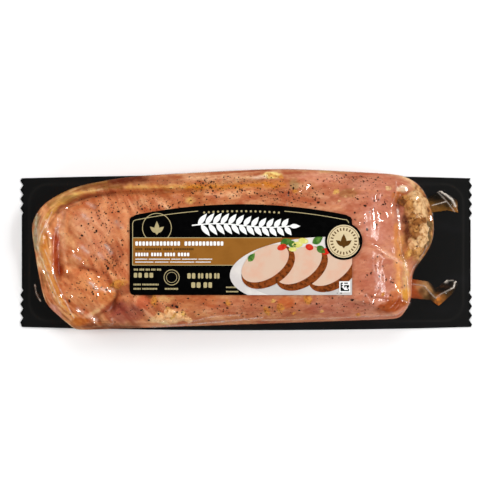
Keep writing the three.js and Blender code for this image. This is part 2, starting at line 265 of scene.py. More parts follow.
def clouds(u, v, depth, octaves=3):
    """Soft noise of about -1 to 1, with a grain of 1 in its coordinates."""
    depths = np.broadcast_to(depth, u.shape)
    return np.array([noise.fractal((a, b, c), 1.0, 2.0, octaves) for a, b, c in zip(u, v, depths)])


def flesh_relief(x, y, under_film=True):
    """Muscle bundles, folds and fibres. The film over them spans the hollows and smooths the fibres away."""
    u, v = flesh_run(x, y)
    out = clouds(u / 13, v / 6, 0, 2) * (0.35 + 0.35 * ramp(-x, -40, 60))
    for rise, half_width, path in FINE_FOLDS:
        out = out + rise * band(x, y, path_on_pack(path), half_width)
    if under_film:
        out = out + 0.16 * clouds(u / 2.2, v / 1.2, 7, 2)
    else:
        out = np.where(out > 0, 0.9 * out, 0.35 * out)
    return out * ramp(outer_inside(x, y), 0, 4) * (1 - 0.8 * label_cover(x, y))


# Lumps of seasoning under the film: photo place, half length, half width, turn, rise, colour name
LUMPS = [
    (416, 196.5, 4.8, 4.0, 30, 1.3, "cream"), (420.5, 205, 6.4, 4.8, 60, 1.7, "cream"),
    (423, 213, 4.8, 3.6, 100, 1.2, "cream"), (424.5, 229, 4.6, 3.0, 80, 1.2, "cream"),
    (423, 239, 6.0, 3.4, 75, 1.4, "cream"), (413, 244.5, 4.4, 2.8, 60, 1.1, "cream"),
    (410.5, 203, 5.0, 2.4, 80, 1.0, "tan"), (414, 214, 4.2, 2.0, 95, 0.8, "tan"),
    (415, 229, 3.8, 2.0, 80, 0.8, "tan"), (409, 253, 3.8, 1.8, 70, 0.8, "butter"),
    (406, 198, 2.8, 2.4, 0, 0.7, "tan"), (417.5, 251, 4.4, 2.4, 40, 0.9, "tan"),
    (420.5, 220.5, 4.4, 2.4, 0, 0.7, "brown"), (402.3, 202, 3.0, 2.6, 0, 0.7, "brown"),
    (415, 234, 2.0, 3.2, 10, 0.3, "brown"), (416, 222, 2.2, 2.6, 0, 0.3, "brown"),
    (429.6, 226, 2.4, 4.2, 0, 0.6, "olive"), (427.5, 240, 2.8, 4.6, -16, 0.5, "olive"),
    (160, 318, 5.0, 2.4, 12, 1.0, "pale"), (169, 314, 4.4, 3.0, 30, 1.2, "pale"),
    (179, 317, 4.4, 2.6, -16, 1.1, "pale"), (187, 318.5, 3.4, 1.6, -20, 0.8, "pale"),
    (170, 320, 4.6, 2.0, 4, 0.9, "pale"), (169, 310.5, 2.4, 1.6, 0, 0.8, "butter"),
    (173, 316, 3.0, 1.2, 50, 0.9, "butter"), (183, 314, 1.8, 1.4, 0, 0.7, "butter"),
    (307.8, 299, 3.0, 3.2, 60, 0.6, "amber"), (280.6, 308, 2.2, 2.8, 10, 0.5, "amber"),
    (267, 311.5, 1.6, 3.2, 35, 0.5, "amber"), (227.4, 303, 1.2, 3.0, 15, 0.3, "amber"),
    (272.8, 300, 1.0, 0.9, 0, 0.3, "butter"), (294, 313.3, 1.5, 1.0, 20, 0.3, "amber"),
    (322, 311, 1.2, 1.0, 0, 0.3, "butter"), (358.3, 314, 1.2, 1.5, 30, 0.3, "amber"),
    (382.3, 294.6, 0.9, 0.9, 0, 0.3, "amber"), (118, 284.5, 5.2, 2.2, 12, 1.0, "amber"),
    (154.5, 300.5, 1.3, 3.4, -8, 0.4, "amber"), (335.8, 191.7, 1.8, 1.6, 0, 0.5, "butter"),
    (345.8, 196.3, 0.8, 0.6, 0, 0.3, "cream"), (353.4, 189, 0.7, 0.7, 0, 0.3, "cream"),
    (339, 200.5, 0.7, 0.7, 0, 0.3, "cream"), (387.6, 188.2, 2.4, 1.4, -20, 0.5, "cream"),
    (272, 175.6, 4.4, 1.1, -4, 0.4, "butter"), (281, 177, 1.8, 1.2, 0, 0.4, "amber"),
    (295, 191, 1.8, 1.2, 0, 0.3, "amber"), (190, 200.5, 1.6, 1.8, 0, 0.3, "butter"),
]
# The two colours clouded in each kind of lump
LUMP_COLOURS = {
    "cream": ((236, 194, 142), (186, 128, 72)),
    # pale: the cream painted lighter, as painted light that makes up for the dimmer lower slope where the clump lies.
    "pale": ((250, 200, 146), (226, 156, 96)),
    "tan": ((208, 152, 86), (150, 94, 42)),
    "brown": ((156, 98, 46), (118, 68, 30)),
    "olive": ((126, 96, 52), (82, 56, 26)),
    "butter": ((230, 180, 100), (196, 130, 58)),
    "amber": ((212, 140, 60), (176, 96, 40)),
}


def lump_relief(x, y):
    """The film's rise over the lumps."""
    total = np.zeros_like(x)
    for px, py, long, wide, turn, rise, _ in LUMPS:
        lx, ly = on_pack(px, py)
        near = (np.abs(x - lx) < 9) & (np.abs(y - ly) < 9)
        if near.any():
            rising = mound(x[near], y[near], lx, ly, long * 1.3, wide * 1.3, turn, rise)
            total[near] = np.maximum(total[near], rising)
    return total


def crinkles(x, y):
    """Fine creases of drawn film, most at both ends of the pack, up and down on the right and aslant on the left."""
    turn = math.radians(-25) * (1 - ramp(x, -90, 20))
    u = x * np.cos(turn) - y * np.sin(turn)
    v = x * np.sin(turn) + y * np.cos(turn)
    ends = 0.3 + 0.7 * ramp(np.abs(x + 5), 70, 110)
    lines = np.clip(1 - np.abs(clouds(u / 3.6, v / 10, 11, 1)) * 7, 0, 1) ** 1.5
    drawn = 0.2 * ramp(x, 60, 80) * clouds(x / 2.6, y / 11, 19, 1)
    return (0.14 * lines + 0.2 * clouds(u / 5, v / 6, 17, 1) + drawn) * ends * (1 - label_cover(x, y))


def film_height(x, y):
    """Height of the clear film over the fillet."""
    z = top_height(x, y, groove_share=0.75) + FILM_GAP + lump_relief(x, y)
    return z + flesh_relief(x, y, under_film=False) + crinkles(x, y)


def film_or_web(x, y):
    """Height of the film over the fillet, or over the web around it."""
    return np.where(outer_inside(x, y) > 0, film_height(x, y), WEB_TOP + 0.35)


# Lamps stand in a direction from the pack's middle, given by azimuth and zenith in degrees.
def lamp_place(azimuth, zenith, distance):
    a, z = math.radians(azimuth), math.radians(zenith)
    return Vector((math.sin(z) * math.cos(a), math.sin(z) * math.sin(a), math.cos(z))) * distance


STRIP_LAMP = lamp_place(0, 40, 1300)
STRIP_SIZE = (0.5, 0.07)
CAMERA_PLACE = Vector((*AXIS_SPOT, CAMERA_HEIGHT))

# Where tight film forms narrow flats that catch the light, as photo paths: half width, path
GLINTS = [
    (0.8, [(372.8, 209.5), (373.8, 218), (375, 227)]), (0.6, [(377.8, 212.8), (379.4, 219.4)]),
    (0.6, [(379.6, 220), (383, 220.5)]), (0.5, [(386.3, 212.8), (388.3, 217.2)]),
    (0.35, [(394.4, 195), (392, 203)]), (0.8, [(391.9, 204), (391.3, 209)]), (0.4, [(391.3, 209.5), (391, 214)]),
    (0.75, [(397.2, 209.4), (398.3, 216), (399.4, 228.3)]), (0.5, [(398.8, 210.8), (404.4, 210.6)]),
    (0.9, [(401, 186.5), (407, 190)]), (0.4, [(375.4, 195), (375.6, 200.5)]), (0.5, [(364.4, 214), (364.4, 219.4)]),
    (0.35, [(358.3, 222.8), (361, 227)]), (0.4, [(364, 240.6), (371, 240.8)]), (0.6, [(373, 243), (381.5, 248.8)]),
    (0.8, [(397.5, 258.5), (403.5, 262.5)]), (0.7, [(402.5, 255), (406.5, 266)]),
    (0.4, [(401.8, 300.5), (409.2, 302.7)]), (0.4, [(364.2, 296), (362.7, 303)]),
    (0.45, [(366.3, 294.5), (370.7, 302)]), (0.45, [(375.2, 294.5), (372.2, 303)]), (0.35, [(395.2, 284.5), (400, 294)]),
    (0.5, [(430.4, 216), (431, 220)]), (0.7, [(417.5, 195.5), (416.6, 199)]),
    (1.4, [(309.4, 182), (307, 188.5)]), (0.8, [(299, 192), (302, 190)]), (0.6, [(298.2, 201), (301, 198.8)]),
    (0.7, [(292.8, 180.5), (293, 186)]), (0.4, [(328.7, 185), (329.4, 190.5)]), (0.3, [(287.4, 196), (287.4, 205)]),
    (0.4, [(351, 178.5), (351.5, 181)]), (0.4, [(345.6, 196), (346.6, 197)]),
    (0.5, [(46.5, 230), (49.5, 233.5)]), (0.4, [(49, 236), (51.5, 239)]), (0.3, [(47.5, 246), (50, 248)]),
    (0.8, [(69, 248), (74, 252)]), (0.5, [(79, 246.5), (77.5, 251)]), (0.6, [(106.5, 246), (111, 252.5)]),
    (0.6, [(102, 256), (101.8, 260)]), (0.5, [(66, 267), (67.5, 272.5)]), (0.3, [(83.3, 259.5), (83.7, 266)]),
    (0.9, [(92.7, 284.5), (98, 290)]), (0.6, [(87.5, 276), (90.5, 279.5)]), (0.6, [(98, 275), (100.5, 278.5)]),
    (0.8, [(95.7, 291.7), (98.7, 295)]), (0.8, [(107.2, 288.5), (111.8, 292.5)]), (0.5, [(59, 292), (62, 297)]),
    (0.5, [(68.5, 291.7), (73, 297)]), (0.8, [(75, 310), (80, 311.8)]), (0.5, [(84, 317.7), (88, 318.8)]),
    (0.8, [(90.5, 316.5), (94.5, 319.5)]), (0.5, [(94.2, 320.5), (95, 325)]), (0.5, [(112, 319), (113, 323.5)]),
    (0.3, [(42.5, 267), (44.5, 273)]), (0.3, [(52, 268), (53.5, 273)]), (0.45, [(35, 286), (36, 292.5)]),
    (0.5, [(36.6, 293.5), (40, 300.5)]), (0.4, [(66, 208.7), (68.2, 207.5)]), (0.6, [(120, 224), (122.2, 226.5)]),
    (0.4, [(157, 322.5), (164, 321.8)]), (0.5, [(89, 204.8), (93, 207.4)]),
]
STEEPEST_STEP = 0.8
LONGEST_FLAT = 4.0
# How far a flat may lean along y from the exact mirror, because the strip lamp is long that way
LEAN_PLAY = 0.08


def mirror_lean(spot):
    """Slopes along x and y of a flat that mirrors the strip lamp to a viewer straight above the pack."""
    half = (STRIP_LAMP - spot).normalized() + (CAMERA_PLACE - spot).normalized()
    return Vector((-half.x / half.z, -half.y / half.z))


def glint_flats():
    """Each glint as short planes that lie on the film: half width, the two ends, the middle, and the lean."""
    flats = []
    for half_width, path in GLINTS:
        for start, end in zip(path, path[1:]):
            start, end = (Vector(on_pack(*spot)) for spot in (start, end))
            mirror = mirror_lean(Vector((*(start + end) / 2, 20)))
            steps = max(math.ceil(abs(mirror.dot(end - start)) / STEEPEST_STEP),
                        math.ceil((end - start).length / LONGEST_FLAT))
            for i in range(steps):
                ends = [start.lerp(end, i / steps), start.lerp(end, (i + 1) / steps)]
                middle = (ends[0] + ends[1]) / 2
                below, above = film_or_web(np.full(2, middle.x), np.array([middle.y - 1, middle.y + 1]))
                play = np.clip((above - below) / 2 - mirror.y, -LEAN_PLAY, LEAN_PLAY)
                lean = Vector((mirror.x, mirror.y + float(play)))
                along = [ends[0].lerp(ends[1], k / 4) for k in range(5)]
                film = film_or_web(np.array([p.x for p in along]), np.array([p.y for p in along]))
                height = max(float(h) - lean.dot(p - middle) for h, p in zip(film, along)) + 0.1
                flats.append((half_width, ends, Vector((*middle, height)), lean))
    return flats


def with_glints(x, y, z, flats):
    """The film's height with the flats laid in, and how far each point lies on one of them."""
    out, taut = z.copy(), np.zeros_like(z)
    for half_width, ends, middle, lean in flats:
        near = (np.abs(x - middle.x) < 9) & (np.abs(y - middle.y) < 9)
        if near.any():
            share = smooth((half_width + 0.85 - path_distance(x[near], y[near], ends)) / 0.4)
            plane = middle.z + lean.x * (x[near] - middle.x) + lean.y * (y[near] - middle.y)
            share = share * (1 - ramp(np.abs(plane - z[near]), 1.5, 2.3))
            out[near] = out[near] * (1 - share) + plane * share
            taut[near] = np.maximum(taut[near], share)
    return out, taut


# Folds of the film painted milky white, partly its whitening and partly painted highlights and sheen, as photo paths:
# strength, half width, path
MILK_AND_HIGHLIGHT_FOLDS = [
    (0.45, 0.9, [(150, 327), (190, 324.5), (238, 320), (262, 317.5)]), (0.35, 0.8, [(190, 322), (215, 316), (240, 315)]),
    (0.35, 0.6, [(262, 320.3), (330, 318.3), (396, 315), (409, 305)]), (0.3, 1.1, [(385, 252.5), (394, 258), (404, 264)]),
    (0.4, 0.6, [(397.5, 240), (402.5, 252.5), (406.3, 265), (408.7, 301)]), (0.25, 0.6, [(405, 260), (405, 290)]),
    (0.5, 0.6, [(38, 249), (41, 234), (46, 224), (52, 212)]), (0.5, 0.7, [(37, 245), (43, 262), (52, 284), (61, 306)]),
    (0.45, 0.6, [(45, 250), (50, 262), (56, 280), (66, 302), (74, 318)]), (0.35, 1.8, [(47, 230), (51, 237)]),
    (0.45, 0.7, [(37, 214), (36, 226), (38, 240)]), (0.4, 0.5, [(40, 262), (47, 280), (55, 298)]),
    (0.4, 0.6, [(428.5, 243), (423.5, 253), (417.5, 262), (412.2, 269.5), (410, 277)]),
    (0.9, 1.1, [(397.2, 209.5), (398.6, 218), (400, 228)]), (0.4, 1.2, [(401, 187), (407, 189)]),
    (0.4, 0.5, [(401.5, 290), (402, 300), (410, 303)]), (0.3, 0.45, [(366, 294), (371, 302.5), (375.6, 294)]),
    (0.3, 0.45, [(364.4, 294), (362.5, 304)]), (0.3, 0.35, [(287.5, 194), (287.5, 206)]),
    (0.3, 0.5, [(396, 181), (396, 194), (391.7, 205), (391, 214)]), (0.25, 0.5, [(375.5, 194), (373.5, 210)]),
    (0.4, 0.6, [(112, 318), (113, 323), (109, 326)]), (0.3, 0.5, [(399.4, 228), (397.5, 240)]),
    (0.25, 0.7, [(36, 219), (35, 232), (37, 245)]), (0.25, 0.8, [(58, 296), (64, 308), (72, 320)]),
    (0.9, 0.6, [(35, 285), (36.3, 293), (40.5, 301)]), (0.25, 0.6, [(404, 174), (418, 185), (429, 200), (433, 216)]),
    (0.4, 2.0, [(82, 247), (88, 252)]), (0.4, 2.0, [(106, 245), (111, 253)]), (0.35, 1.8, [(74, 255), (80, 259)]),
    (0.5, 2.4, [(90, 282), (97, 289)]), (0.4, 2.0, [(101, 289), (113, 290)]), (0.35, 2.2, [(83, 215), (88, 220)]),
    (0.3, 2.0, [(88, 203), (94, 207)]), (0.35, 2.0, [(78, 309), (82, 312)]), (0.4, 2.0, [(90, 315), (96, 320)]),
    (0.3, 2.0, [(99, 254), (103, 258)]), (0.3, 2.2, [(116, 222), (122, 227)]),
]


MILK_AND_HIGHLIGHT_SHARE = 0.75
MILK_AND_HIGHLIGHT_WIDTH = 0.6
SEAM_CORNER = 13


def seam_distance(x, y):
    """Distance from the faint seam that runs round the pack, just inside its sealed margin."""
    over_x = np.abs(x) - (WEB_HALF_LENGTH - 1 - SEAL_WIDTH - SEAM_CORNER)
    over_y = np.abs(y) - (WEB_HALF_WIDTH + 1 - SEAL_WIDTH - SEAM_CORNER)
    corner = np.hypot(np.maximum(over_x, 0), np.maximum(over_y, 0))
    return np.abs(corner + np.minimum(np.maximum(over_x, over_y), 0) - SEAM_CORNER)


def milk_and_highlight_share(x, y):
    """How far the film is painted milky white: broken lines along its folds, partly whitening of the film and partly
    painted highlights and sheen, and a faint painted sheen along the seam.
    """
    total = np.zeros_like(x)
    for strength, half_width, path in MILK_AND_HIGHLIGHT_FOLDS:
        total = np.maximum(total, strength * band(x, y, path_on_pack(path), half_width * MILK_AND_HIGHLIGHT_WIDTH))
    broken = 0.35 + 0.65 * smooth(clouds(x / 2.4, y / 2.4, 41, 2) * 1.6 + 0.5)
    # Painted sheen: a faint pale trace along the seam.
    trace = 0.006 * np.exp(-((seam_distance(x, y) / 0.7) ** 2)) * (outer_inside(x, y) < 0)
    return MILK_AND_HIGHLIGHT_SHARE * total * broken + trace


def web_edge_distance(angle):
    """Distance from HEART to just inside the web's edge."""
    c, s = np.cos(angle), np.sin(angle)
    end = WEB_HALF_LENGTH - 2.4
    to_end = np.where(c > 0, end - HEART[0], end + HEART[0]) / np.maximum(np.abs(c), 1e-6)
    half_width = np.full_like(angle, WEB_HALF_WIDTH - 0.4)
    for _ in range(3):
        to_side = np.where(s > 0, half_width - HEART[1], half_width + HEART[1]) / np.maximum(np.abs(s), 1e-6)
        x = HEART[0] + np.minimum(to_side, to_end) * c
        half_width = WEB_HALF_WIDTH - 0.4 + WEB_BOW * (1 - (x / WEB_HALF_LENGTH) ** 2)
    return np.minimum(to_side, to_end)


def foot_place(x, y):
    """Where the side above this point of the rim meets the web."""
    most = WEB_HALF_WIDTH - SEAL_WIDTH
    shrink = 1 - FOOT_INSET / np.hypot(x - HEART[0], y - HEART[1])
    return HEART[0] + (x - HEART[0]) * shrink, np.clip(HEART[1] + (y - HEART[1]) * shrink, -most, most)


# Meshes and pieces
def add_object(name, bm, material, replaced=None):
    """Turns a bmesh in mm into a piece of the pack."""
    bmesh.ops.scale(bm, vec=(MM, MM, MM), verts=bm.verts)
    for face in bm.faces:
        face.smooth = True
    mesh = bpy.data.meshes.new(name)
    bm.to_mesh(mesh)
    bm.free()
    mesh.materials.append(material)
    piece = bpy.data.objects.new(name, mesh)
    bpy.context.scene.collection.objects.link(piece)
    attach(piece, "root")
    if replaced:
        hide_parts(replaced)
    return piece


def add_values(piece, name, values):
    """Gives each point of a piece a number that its material reads."""
    layer = piece.data.attributes.new(name, "FLOAT", "POINT")
    layer.data.foreach_set("value", values.astype(np.float32))


def grid_strip(columns, rows, left=-1.0, right=1.0):
    """A strip of a square grid, with its ring, 0 at HEART and 1 at the border, and its direction from HEART."""
    bm = bmesh.new()
    bmesh.ops.create_grid(bm, x_segments=columns, y_segments=rows, size=1)
    a = left + (np.array([v.co.x for v in bm.verts]) + 1) / 2 * (right - left)
    b = np.array([v.co.y for v in bm.verts])
    return bm, np.maximum(np.abs(a), np.abs(b)), np.arctan2(b * 53, a * 133)


def place_points(bm, x, y, z):
    for v, px, py, pz in zip(bm.verts, x, y, z):
        v.co = (px, py, pz)


def lay_over(ring, angle, top_end, wall_end, height, proud):
    """Lays a grid over the fillet: the top, then the side down to its foot."""
    distance = outline_distance(angle) + proud
    share = np.sin(np.clip(ring / top_end, 0, 1) * math.pi / 2)
    rim_x = HEART[0] + distance * np.cos(angle)
    rim_y = HEART[1] + distance * np.sin(angle)
    x = HEART[0] + share * distance * np.cos(angle)
    y = HEART[1] + share * distance * np.sin(angle)
    z = np.where(share > 0.9999, WIDEST, height(x, y))
    turn = np.clip((ring - top_end) / (wall_end - top_end), 0, 1) * math.pi / 2
    foot_x, foot_y = foot_place(rim_x, rim_y)
    tuck = 1 - np.cos(turn)
    on_wall = ring > top_end
    x = np.where(on_wall, rim_x + (foot_x - rim_x) * tuck, x)
    y = np.where(on_wall, rim_y + (foot_y - rim_y) * tuck, y)
    z = np.where(on_wall, SEAT + 0.1 + (WIDEST - SEAT) * (1 - np.sin(turn)), z)
    return x, y, z


def linear(colour):
    """A colour of 0 to 255, as the eye sees it, as light."""
    return tuple(((c / 255 + 0.055) / 1.055) ** 2.4 if c > 10 else c / 255 / 12.92 for c in colour)


# Colours of the fillet. The ground goes from left to right, by photo column.
GROUND = [(60, (216, 136, 84)), (130, (206, 124, 80)), (200, (192, 114, 68)), (300, (188, 115, 78)), (380, (196, 122, 96))]
# Long features, as photo paths: colour, strength, half width in pixels, path
TINTED_BANDS = [
    ((120, 46, 6), 1.0, 5.6, [(84, 184), (104, 181.5), (130, 179.5), (146, 178.5)]),
    ((172, 112, 48), 0.8, 3.0, [(48, 205), (64, 193), (86, 184), (106, 181)]),
    ((208, 144, 68), 0.9, 2.6, [(46, 218), (62, 202), (80, 192)]),
    ((152, 90, 34), 0.9, 2.4, [(84, 188), (104, 187), (122, 187)]),
    ((208, 144, 78), 0.9, 3.0, [(128, 188), (150, 187.5), (192, 187)]),
    ((198, 118, 40), 0.95, 3.2, [(188, 187), (230, 186), (260, 184.5), (282, 184)]),
    ((196, 138, 88), 0.85, 2.6, [(322, 170.5), (344, 170.5), (368, 170.5), (386, 171.5)]),
    ((126, 64, 34), 0.85, 3.6, [(76, 324), (92, 326.5), (112, 327), (138, 327)]),
    ((166, 98, 50), 0.8, 2.2, [(226, 180), (246, 180), (262, 180.5)]),
    ((182, 108, 58), 0.7, 3.0, [(290, 181), (304, 180), (314, 180)]),
    ((224, 150, 102), 0.6, 2.4, [(206, 193), (232, 192), (252, 192)]),
    ((224, 150, 88), 0.85, 3.4, [(398, 262), (398, 278), (399, 290)]),
    ((222, 156, 98), 0.9, 4.6, [(401, 238), (401, 247), (400, 256)]),
    ((196, 110, 62), 0.8, 2.8, [(397, 226), (396, 233), (395, 240)]),
    ((218, 172, 132), 0.7, 2.4, [(39, 226), (40, 238), (38, 248)]),
    ((228, 154, 98), 0.6, 2.4, [(69, 216), (67, 230), (66, 246)]),
    # Painted shadow in the fold below the upper lip.
    ((152, 80, 44), 0.85, 2.0, [(56, 212), (72, 201), (90, 196), (112, 193)]),
    ((196, 116, 66), 0.8, 2.4, [(118, 193), (150, 192.5), (192, 192.5)]),
    ((218, 156, 112), 0.75, 3.6, [(186, 178), (220, 178), (252, 177)]),
    ((160, 134, 92), 0.9, 3.2, [(37, 217), (35, 232), (36, 248)]),
    ((200, 142, 84), 0.8, 2.6, [(44, 226), (40, 240), (42, 262), (50, 284), (60, 304)]),
    ((212, 134, 56), 0.85, 3.2, [(45, 236), (44, 250), (50, 268)]),
    ((168, 60, 6), 0.95, 3.6, [(56, 238), (56, 254), (59, 272)]),
    ((222, 164, 94), 0.7, 2.6, [(52, 205), (60, 198.5), (72, 194.5), (84, 192.5), (94, 191.5)]),
    ((214, 140, 66), 0.8, 3.0, [(52, 276), (58, 294), (68, 314), (78, 323)]),
    ((224, 156, 110), 0.8, 3.2, [(64, 214), (63, 232), (64, 250)]),
    ((174, 90, 54), 0.8, 2.4, [(84, 268), (96, 271), (106, 281), (112, 289)]),
    # Painted highlight along the lower right rim of the lobe.
    ((226, 166, 108), 0.8, 1.8, [(113, 292), (111, 299), (102, 307), (91, 314)]),
    ((234, 172, 140), 0.7, 2.4, [(384, 251), (393, 257.5), (404, 264)]),
    ((218, 162, 108), 0.85, 3.6, [(404.5, 258), (406, 272), (406, 288)]),
    ((230, 178, 134), 0.8, 3.0, [(392, 172.5), (406, 177.5), (418, 187), (427, 200)]),
    ((222, 148, 92), 0.7, 3.4, [(398, 226), (396, 240), (400, 252)]),
    ((176, 104, 66), 0.7, 1.8, [(200, 321.5), (222, 321), (246, 318.5)]),
    ((206, 138, 108), 0.6, 2.2, [(350, 315.5), (376, 314.5), (396, 313)]),
]
# Patches, by photo place: colour, strength, x, y, half length, half width in pixels, turn
TINTED_PATCHES = [
    ((224, 140, 86), 0.8, 90, 289, 24, 17, -20), ((216, 134, 74), 0.7, 106, 296, 8, 9, -30),
    ((208, 132, 94), 0.6, 94, 250, 18, 9, -20), ((218, 144, 102), 0.75, 92, 226, 24, 16, -10),
    ((176, 96, 60), 0.7, 117, 252, 7, 12, 15),
    ((172, 92, 66), 0.9, 124, 312, 20, 11, 0), ((148, 68, 52), 0.7, 119, 309, 8, 6, 0),
    ((198, 104, 66), 0.95, 143, 303, 8, 7, 0), ((206, 130, 58), 0.8, 154, 301, 3, 6, 0),
    ((218, 158, 100), 0.6, 166, 298.5, 9, 3, 0), ((196, 108, 44), 0.8, 80, 322, 10, 4, 0),
    ((224, 152, 124), 0.7, 56, 312, 10, 6, -48), ((206, 134, 62), 0.8, 118, 284, 9, 5, 12),
    ((150, 104, 52), 0.5, 70, 198, 10, 3, 12), ((228, 182, 112), 0.95, 272, 175.5, 10, 3.4, 3),
    ((222, 168, 134), 0.7, 259, 177.5, 8, 3, 0), ((166, 128, 84), 0.6, 294, 184, 5, 6, 0),
    ((176, 102, 64), 0.7, 166, 180, 20, 5, 0), ((158, 98, 56), 0.7, 349, 193, 10, 5, 0),
    ((220, 158, 114), 0.6, 235, 195, 8, 4, 0), ((218, 160, 100), 0.6, 190, 200, 6, 4, 0),
    ((216, 138, 110), 0.5, 320, 178, 26, 6, 0), ((200, 124, 96), 0.5, 380, 180, 16, 6, 0),
    ((200, 126, 102), 0.75, 377, 222, 17, 22, 0), ((188, 112, 86), 0.7, 378, 276, 20, 20, 0),
    ((214, 142, 58), 0.9, 405, 296, 5, 8, 0), ((168, 80, 30), 0.95, 392, 306, 18, 6, 14),
    ((196, 112, 66), 0.7, 394, 296, 6, 6, 0), ((106, 50, 18), 0.8, 150, 295.5, 5, 3, 0),
    ((164, 84, 50), 0.7, 126, 290, 8, 5, 20), ((232, 190, 158), 0.8, 403, 189, 6, 4, 10),
    ((194, 112, 60), 0.8, 399, 197, 8, 6, 0), ((160, 106, 56), 0.95, 419, 222, 15, 36, 0),
    ((114, 84, 46), 0.8, 430, 236, 4, 14, 0), ((88, 50, 26), 0.95, 421, 261, 18, 7, 60),
    ((226, 178, 120), 0.85, 168, 318, 18, 6, 6), ((160, 80, 50), 0.7, 173, 306, 6, 3, 0),
    ((188, 112, 78), 0.6, 250, 306, 56, 9, 0), ((182, 110, 86), 0.7, 336, 307, 34, 10, 0),
    ((198, 108, 58), 0.5, 210, 302, 8, 6, 0), ((198, 106, 50), 0.6, 286, 303, 9, 7, 0),
    ((214, 150, 104), 0.5, 140, 203, 8, 5, 0),
]


# The crumbly mass on the right end, by photo place: x, y, half length, half width in pixels, turn
MASS = (421, 222, 36, 13.5, 86)
# The dark crease between the muscle and the mass, by photo place
DARK_CREASE = [(404.5, 217), (406.5, 225), (408, 233), (409, 243)]
# What mottling does to the light of red, green and blue
PALER, DEEPER = (1.17, 1.4, 1.52), (0.84, 0.6, 0.52)
# How far the flesh's tints stand out from its ground
CONTRAST = 1.35


def fillet_colours(x, y, z, relief):
    """The fillet's colour at each point: its ground, mottling, tints, streaked rim, marinade and painted shade in its
    hollows, and painted light on its ridges.
    """
    columns = [on_pack(px, PHOTO_MIDDLE)[0] for px, _ in GROUND]
    light = np.stack([np.interp(x, columns, [linear(c)[i] for _, c in GROUND]) for i in range(3)], axis=1)
    flank = light * (1 + 0.35 * clouds(x / 9, y / 9, z / 4) + 0.2 * clouds(x / 2.5, y / 2.5, z / 2))[:, None]

    def tint(colour, share):
        light[:] += (np.array(linear(colour)) - light) * share[:, None]

    def on_oval(middle, long, wide, turn, sharpness):
        away = oval_distance(wander_x, wander_y, on_pack(*middle), long, wide, turn)
        return smooth((1.2 - away) * sharpness)

    def mottle(pattern, strength):
        for factor, side in ((PALER, pattern), (DEEPER, -pattern)):
            share = strength * smooth((side - 0.04) / 0.42)
            light[:] *= 1 + (np.array(factor) - 1) * share[:, None]

    ground = light.copy()
    u, v = flesh_run(x, y)
    calm = 1 - 0.45 * ramp(x, 40, 90)
    mottle(clouds(u / 18, v / 8, 5, 2), 0.7 * calm)

    inside = outer_inside(x, y)
    round_x, round_y = x - HEART[0], 2 * (y - HEART[1])
    away = np.hypot(round_x, round_y)
    streaks = clouds(inside / 1.5 + 3 * round_x / away, 5 * round_y / away, 31, 2)
    left_end = ramp(-x, 84, 112)
    upper_left = ramp(y, 30, 42) * ramp(40 - x, 0, 60)
    rim = smooth((8 + 7 * left_end - inside) / 5) * (0.2 + 0.15 * upper_left + 0.5 * left_end)
    tint((232, 184, 134), rim * smooth((streaks - 0.12) / 0.3))
    tint((146, 80, 34), rim * smooth((-streaks - 0.04) / 0.3))
    # Painted shade: darker in the hollows of the relief, partly marinade pooled there. Painted light: paler on its
    # ridges.
    tint((150, 70, 34), 0.6 * smooth(-relief / 0.6))
    tint((242, 182, 138), 0.35 * smooth(relief / 0.6))

    wander_x = x + 1.5 * clouds(x / 5, y / 5, 21)
    wander_y = y + 1.5 * clouds(x / 5, y / 5, 23)
    for colour, strength, half_width, path in TINTED_BANDS:
        tint(colour, strength * band(wander_x, wander_y, path_on_pack(path), half_width * MM_PER_PIXEL))
    for colour, strength, px, py, long, wide, turn in TINTED_PATCHES:
        tint(colour, strength * on_oval((px, py), long * MM_PER_PIXEL, wide * MM_PER_PIXEL, turn, 1.8))
    mottle(clouds(u / 8, v / 3, 9), 0.42 * calm)
    mottle(clouds(u / 2.4, v / 1.4, 13, 2), 0.35 * calm)
    light[:] = ground * (light / ground) ** CONTRAST

    crumbs, specks = clouds(x / 2.6, y / 2.6, 35), clouds(x / 0.9, y / 0.9, 37)
    mass = on_oval(MASS[:2], MASS[2] * MM_PER_PIXEL, MASS[3] * MM_PER_PIXEL, MASS[4], 4)
    tint((178, 118, 60), 0.9 * mass)
    tint((214, 164, 104), mass * smooth((crumbs - 0.1) / 0.3))
    tint((104, 58, 26), mass * smooth((-crumbs - 0.06) / 0.3))
    tint((78, 22, 12), 0.98 * band(wander_x, wander_y, path_on_pack(DARK_CREASE), 3.0 * MM_PER_PIXEL))
    for px, py, long, wide, turn, _, shade in LUMPS:
        pale, deep = LUMP_COLOURS[shade]
        lump = on_oval((px, py), long, wide, turn, 4)
        tint(pale, 0.85 * lump)
        tint(deep, 0.8 * lump * smooth((-crumbs - 0.02) / 0.3))
        tint((116, 64, 30), 0.3 * lump * smooth((-specks - 0.15) / 0.2))
    return light + (flank - light) * ramp(WIDEST + 1 - z, 0, 4)[:, None]


# Materials
def new_material(name):
    material = bpy.data.materials.new(name)
    material.use_nodes = True
    tree = material.node_tree
    return material, tree, tree.nodes["Principled BSDF"]


def node(tree, kind, **values):
    made = tree.nodes.new(kind)
    for key, value in values.items():
        if key in made.inputs:
            made.inputs[key].default_value = value
        else:
            setattr(made, key, value)
    return made


def object_noise(tree, scale, detail=3, stretch=(1, 1, 1), turn=0):
    """Noise on the object's own coordinates. A stretch below 1 draws the pattern out along that axis."""
    place = node(tree, "ShaderNodeTexCoord")
    mapping = node(tree, "ShaderNodeMapping")
    mapping.inputs["Rotation"].default_value = (0, 0, math.radians(turn))
    mapping.inputs["Scale"].default_value = stretch
    pattern = node(tree, "ShaderNodeTexNoise", Scale=scale, Detail=detail)
    tree.links.new(place.outputs["Object"], mapping.inputs["Vector"])
    tree.links.new(mapping.outputs["Vector"], pattern.inputs["Vector"])
    return pattern.outputs["Fac"]


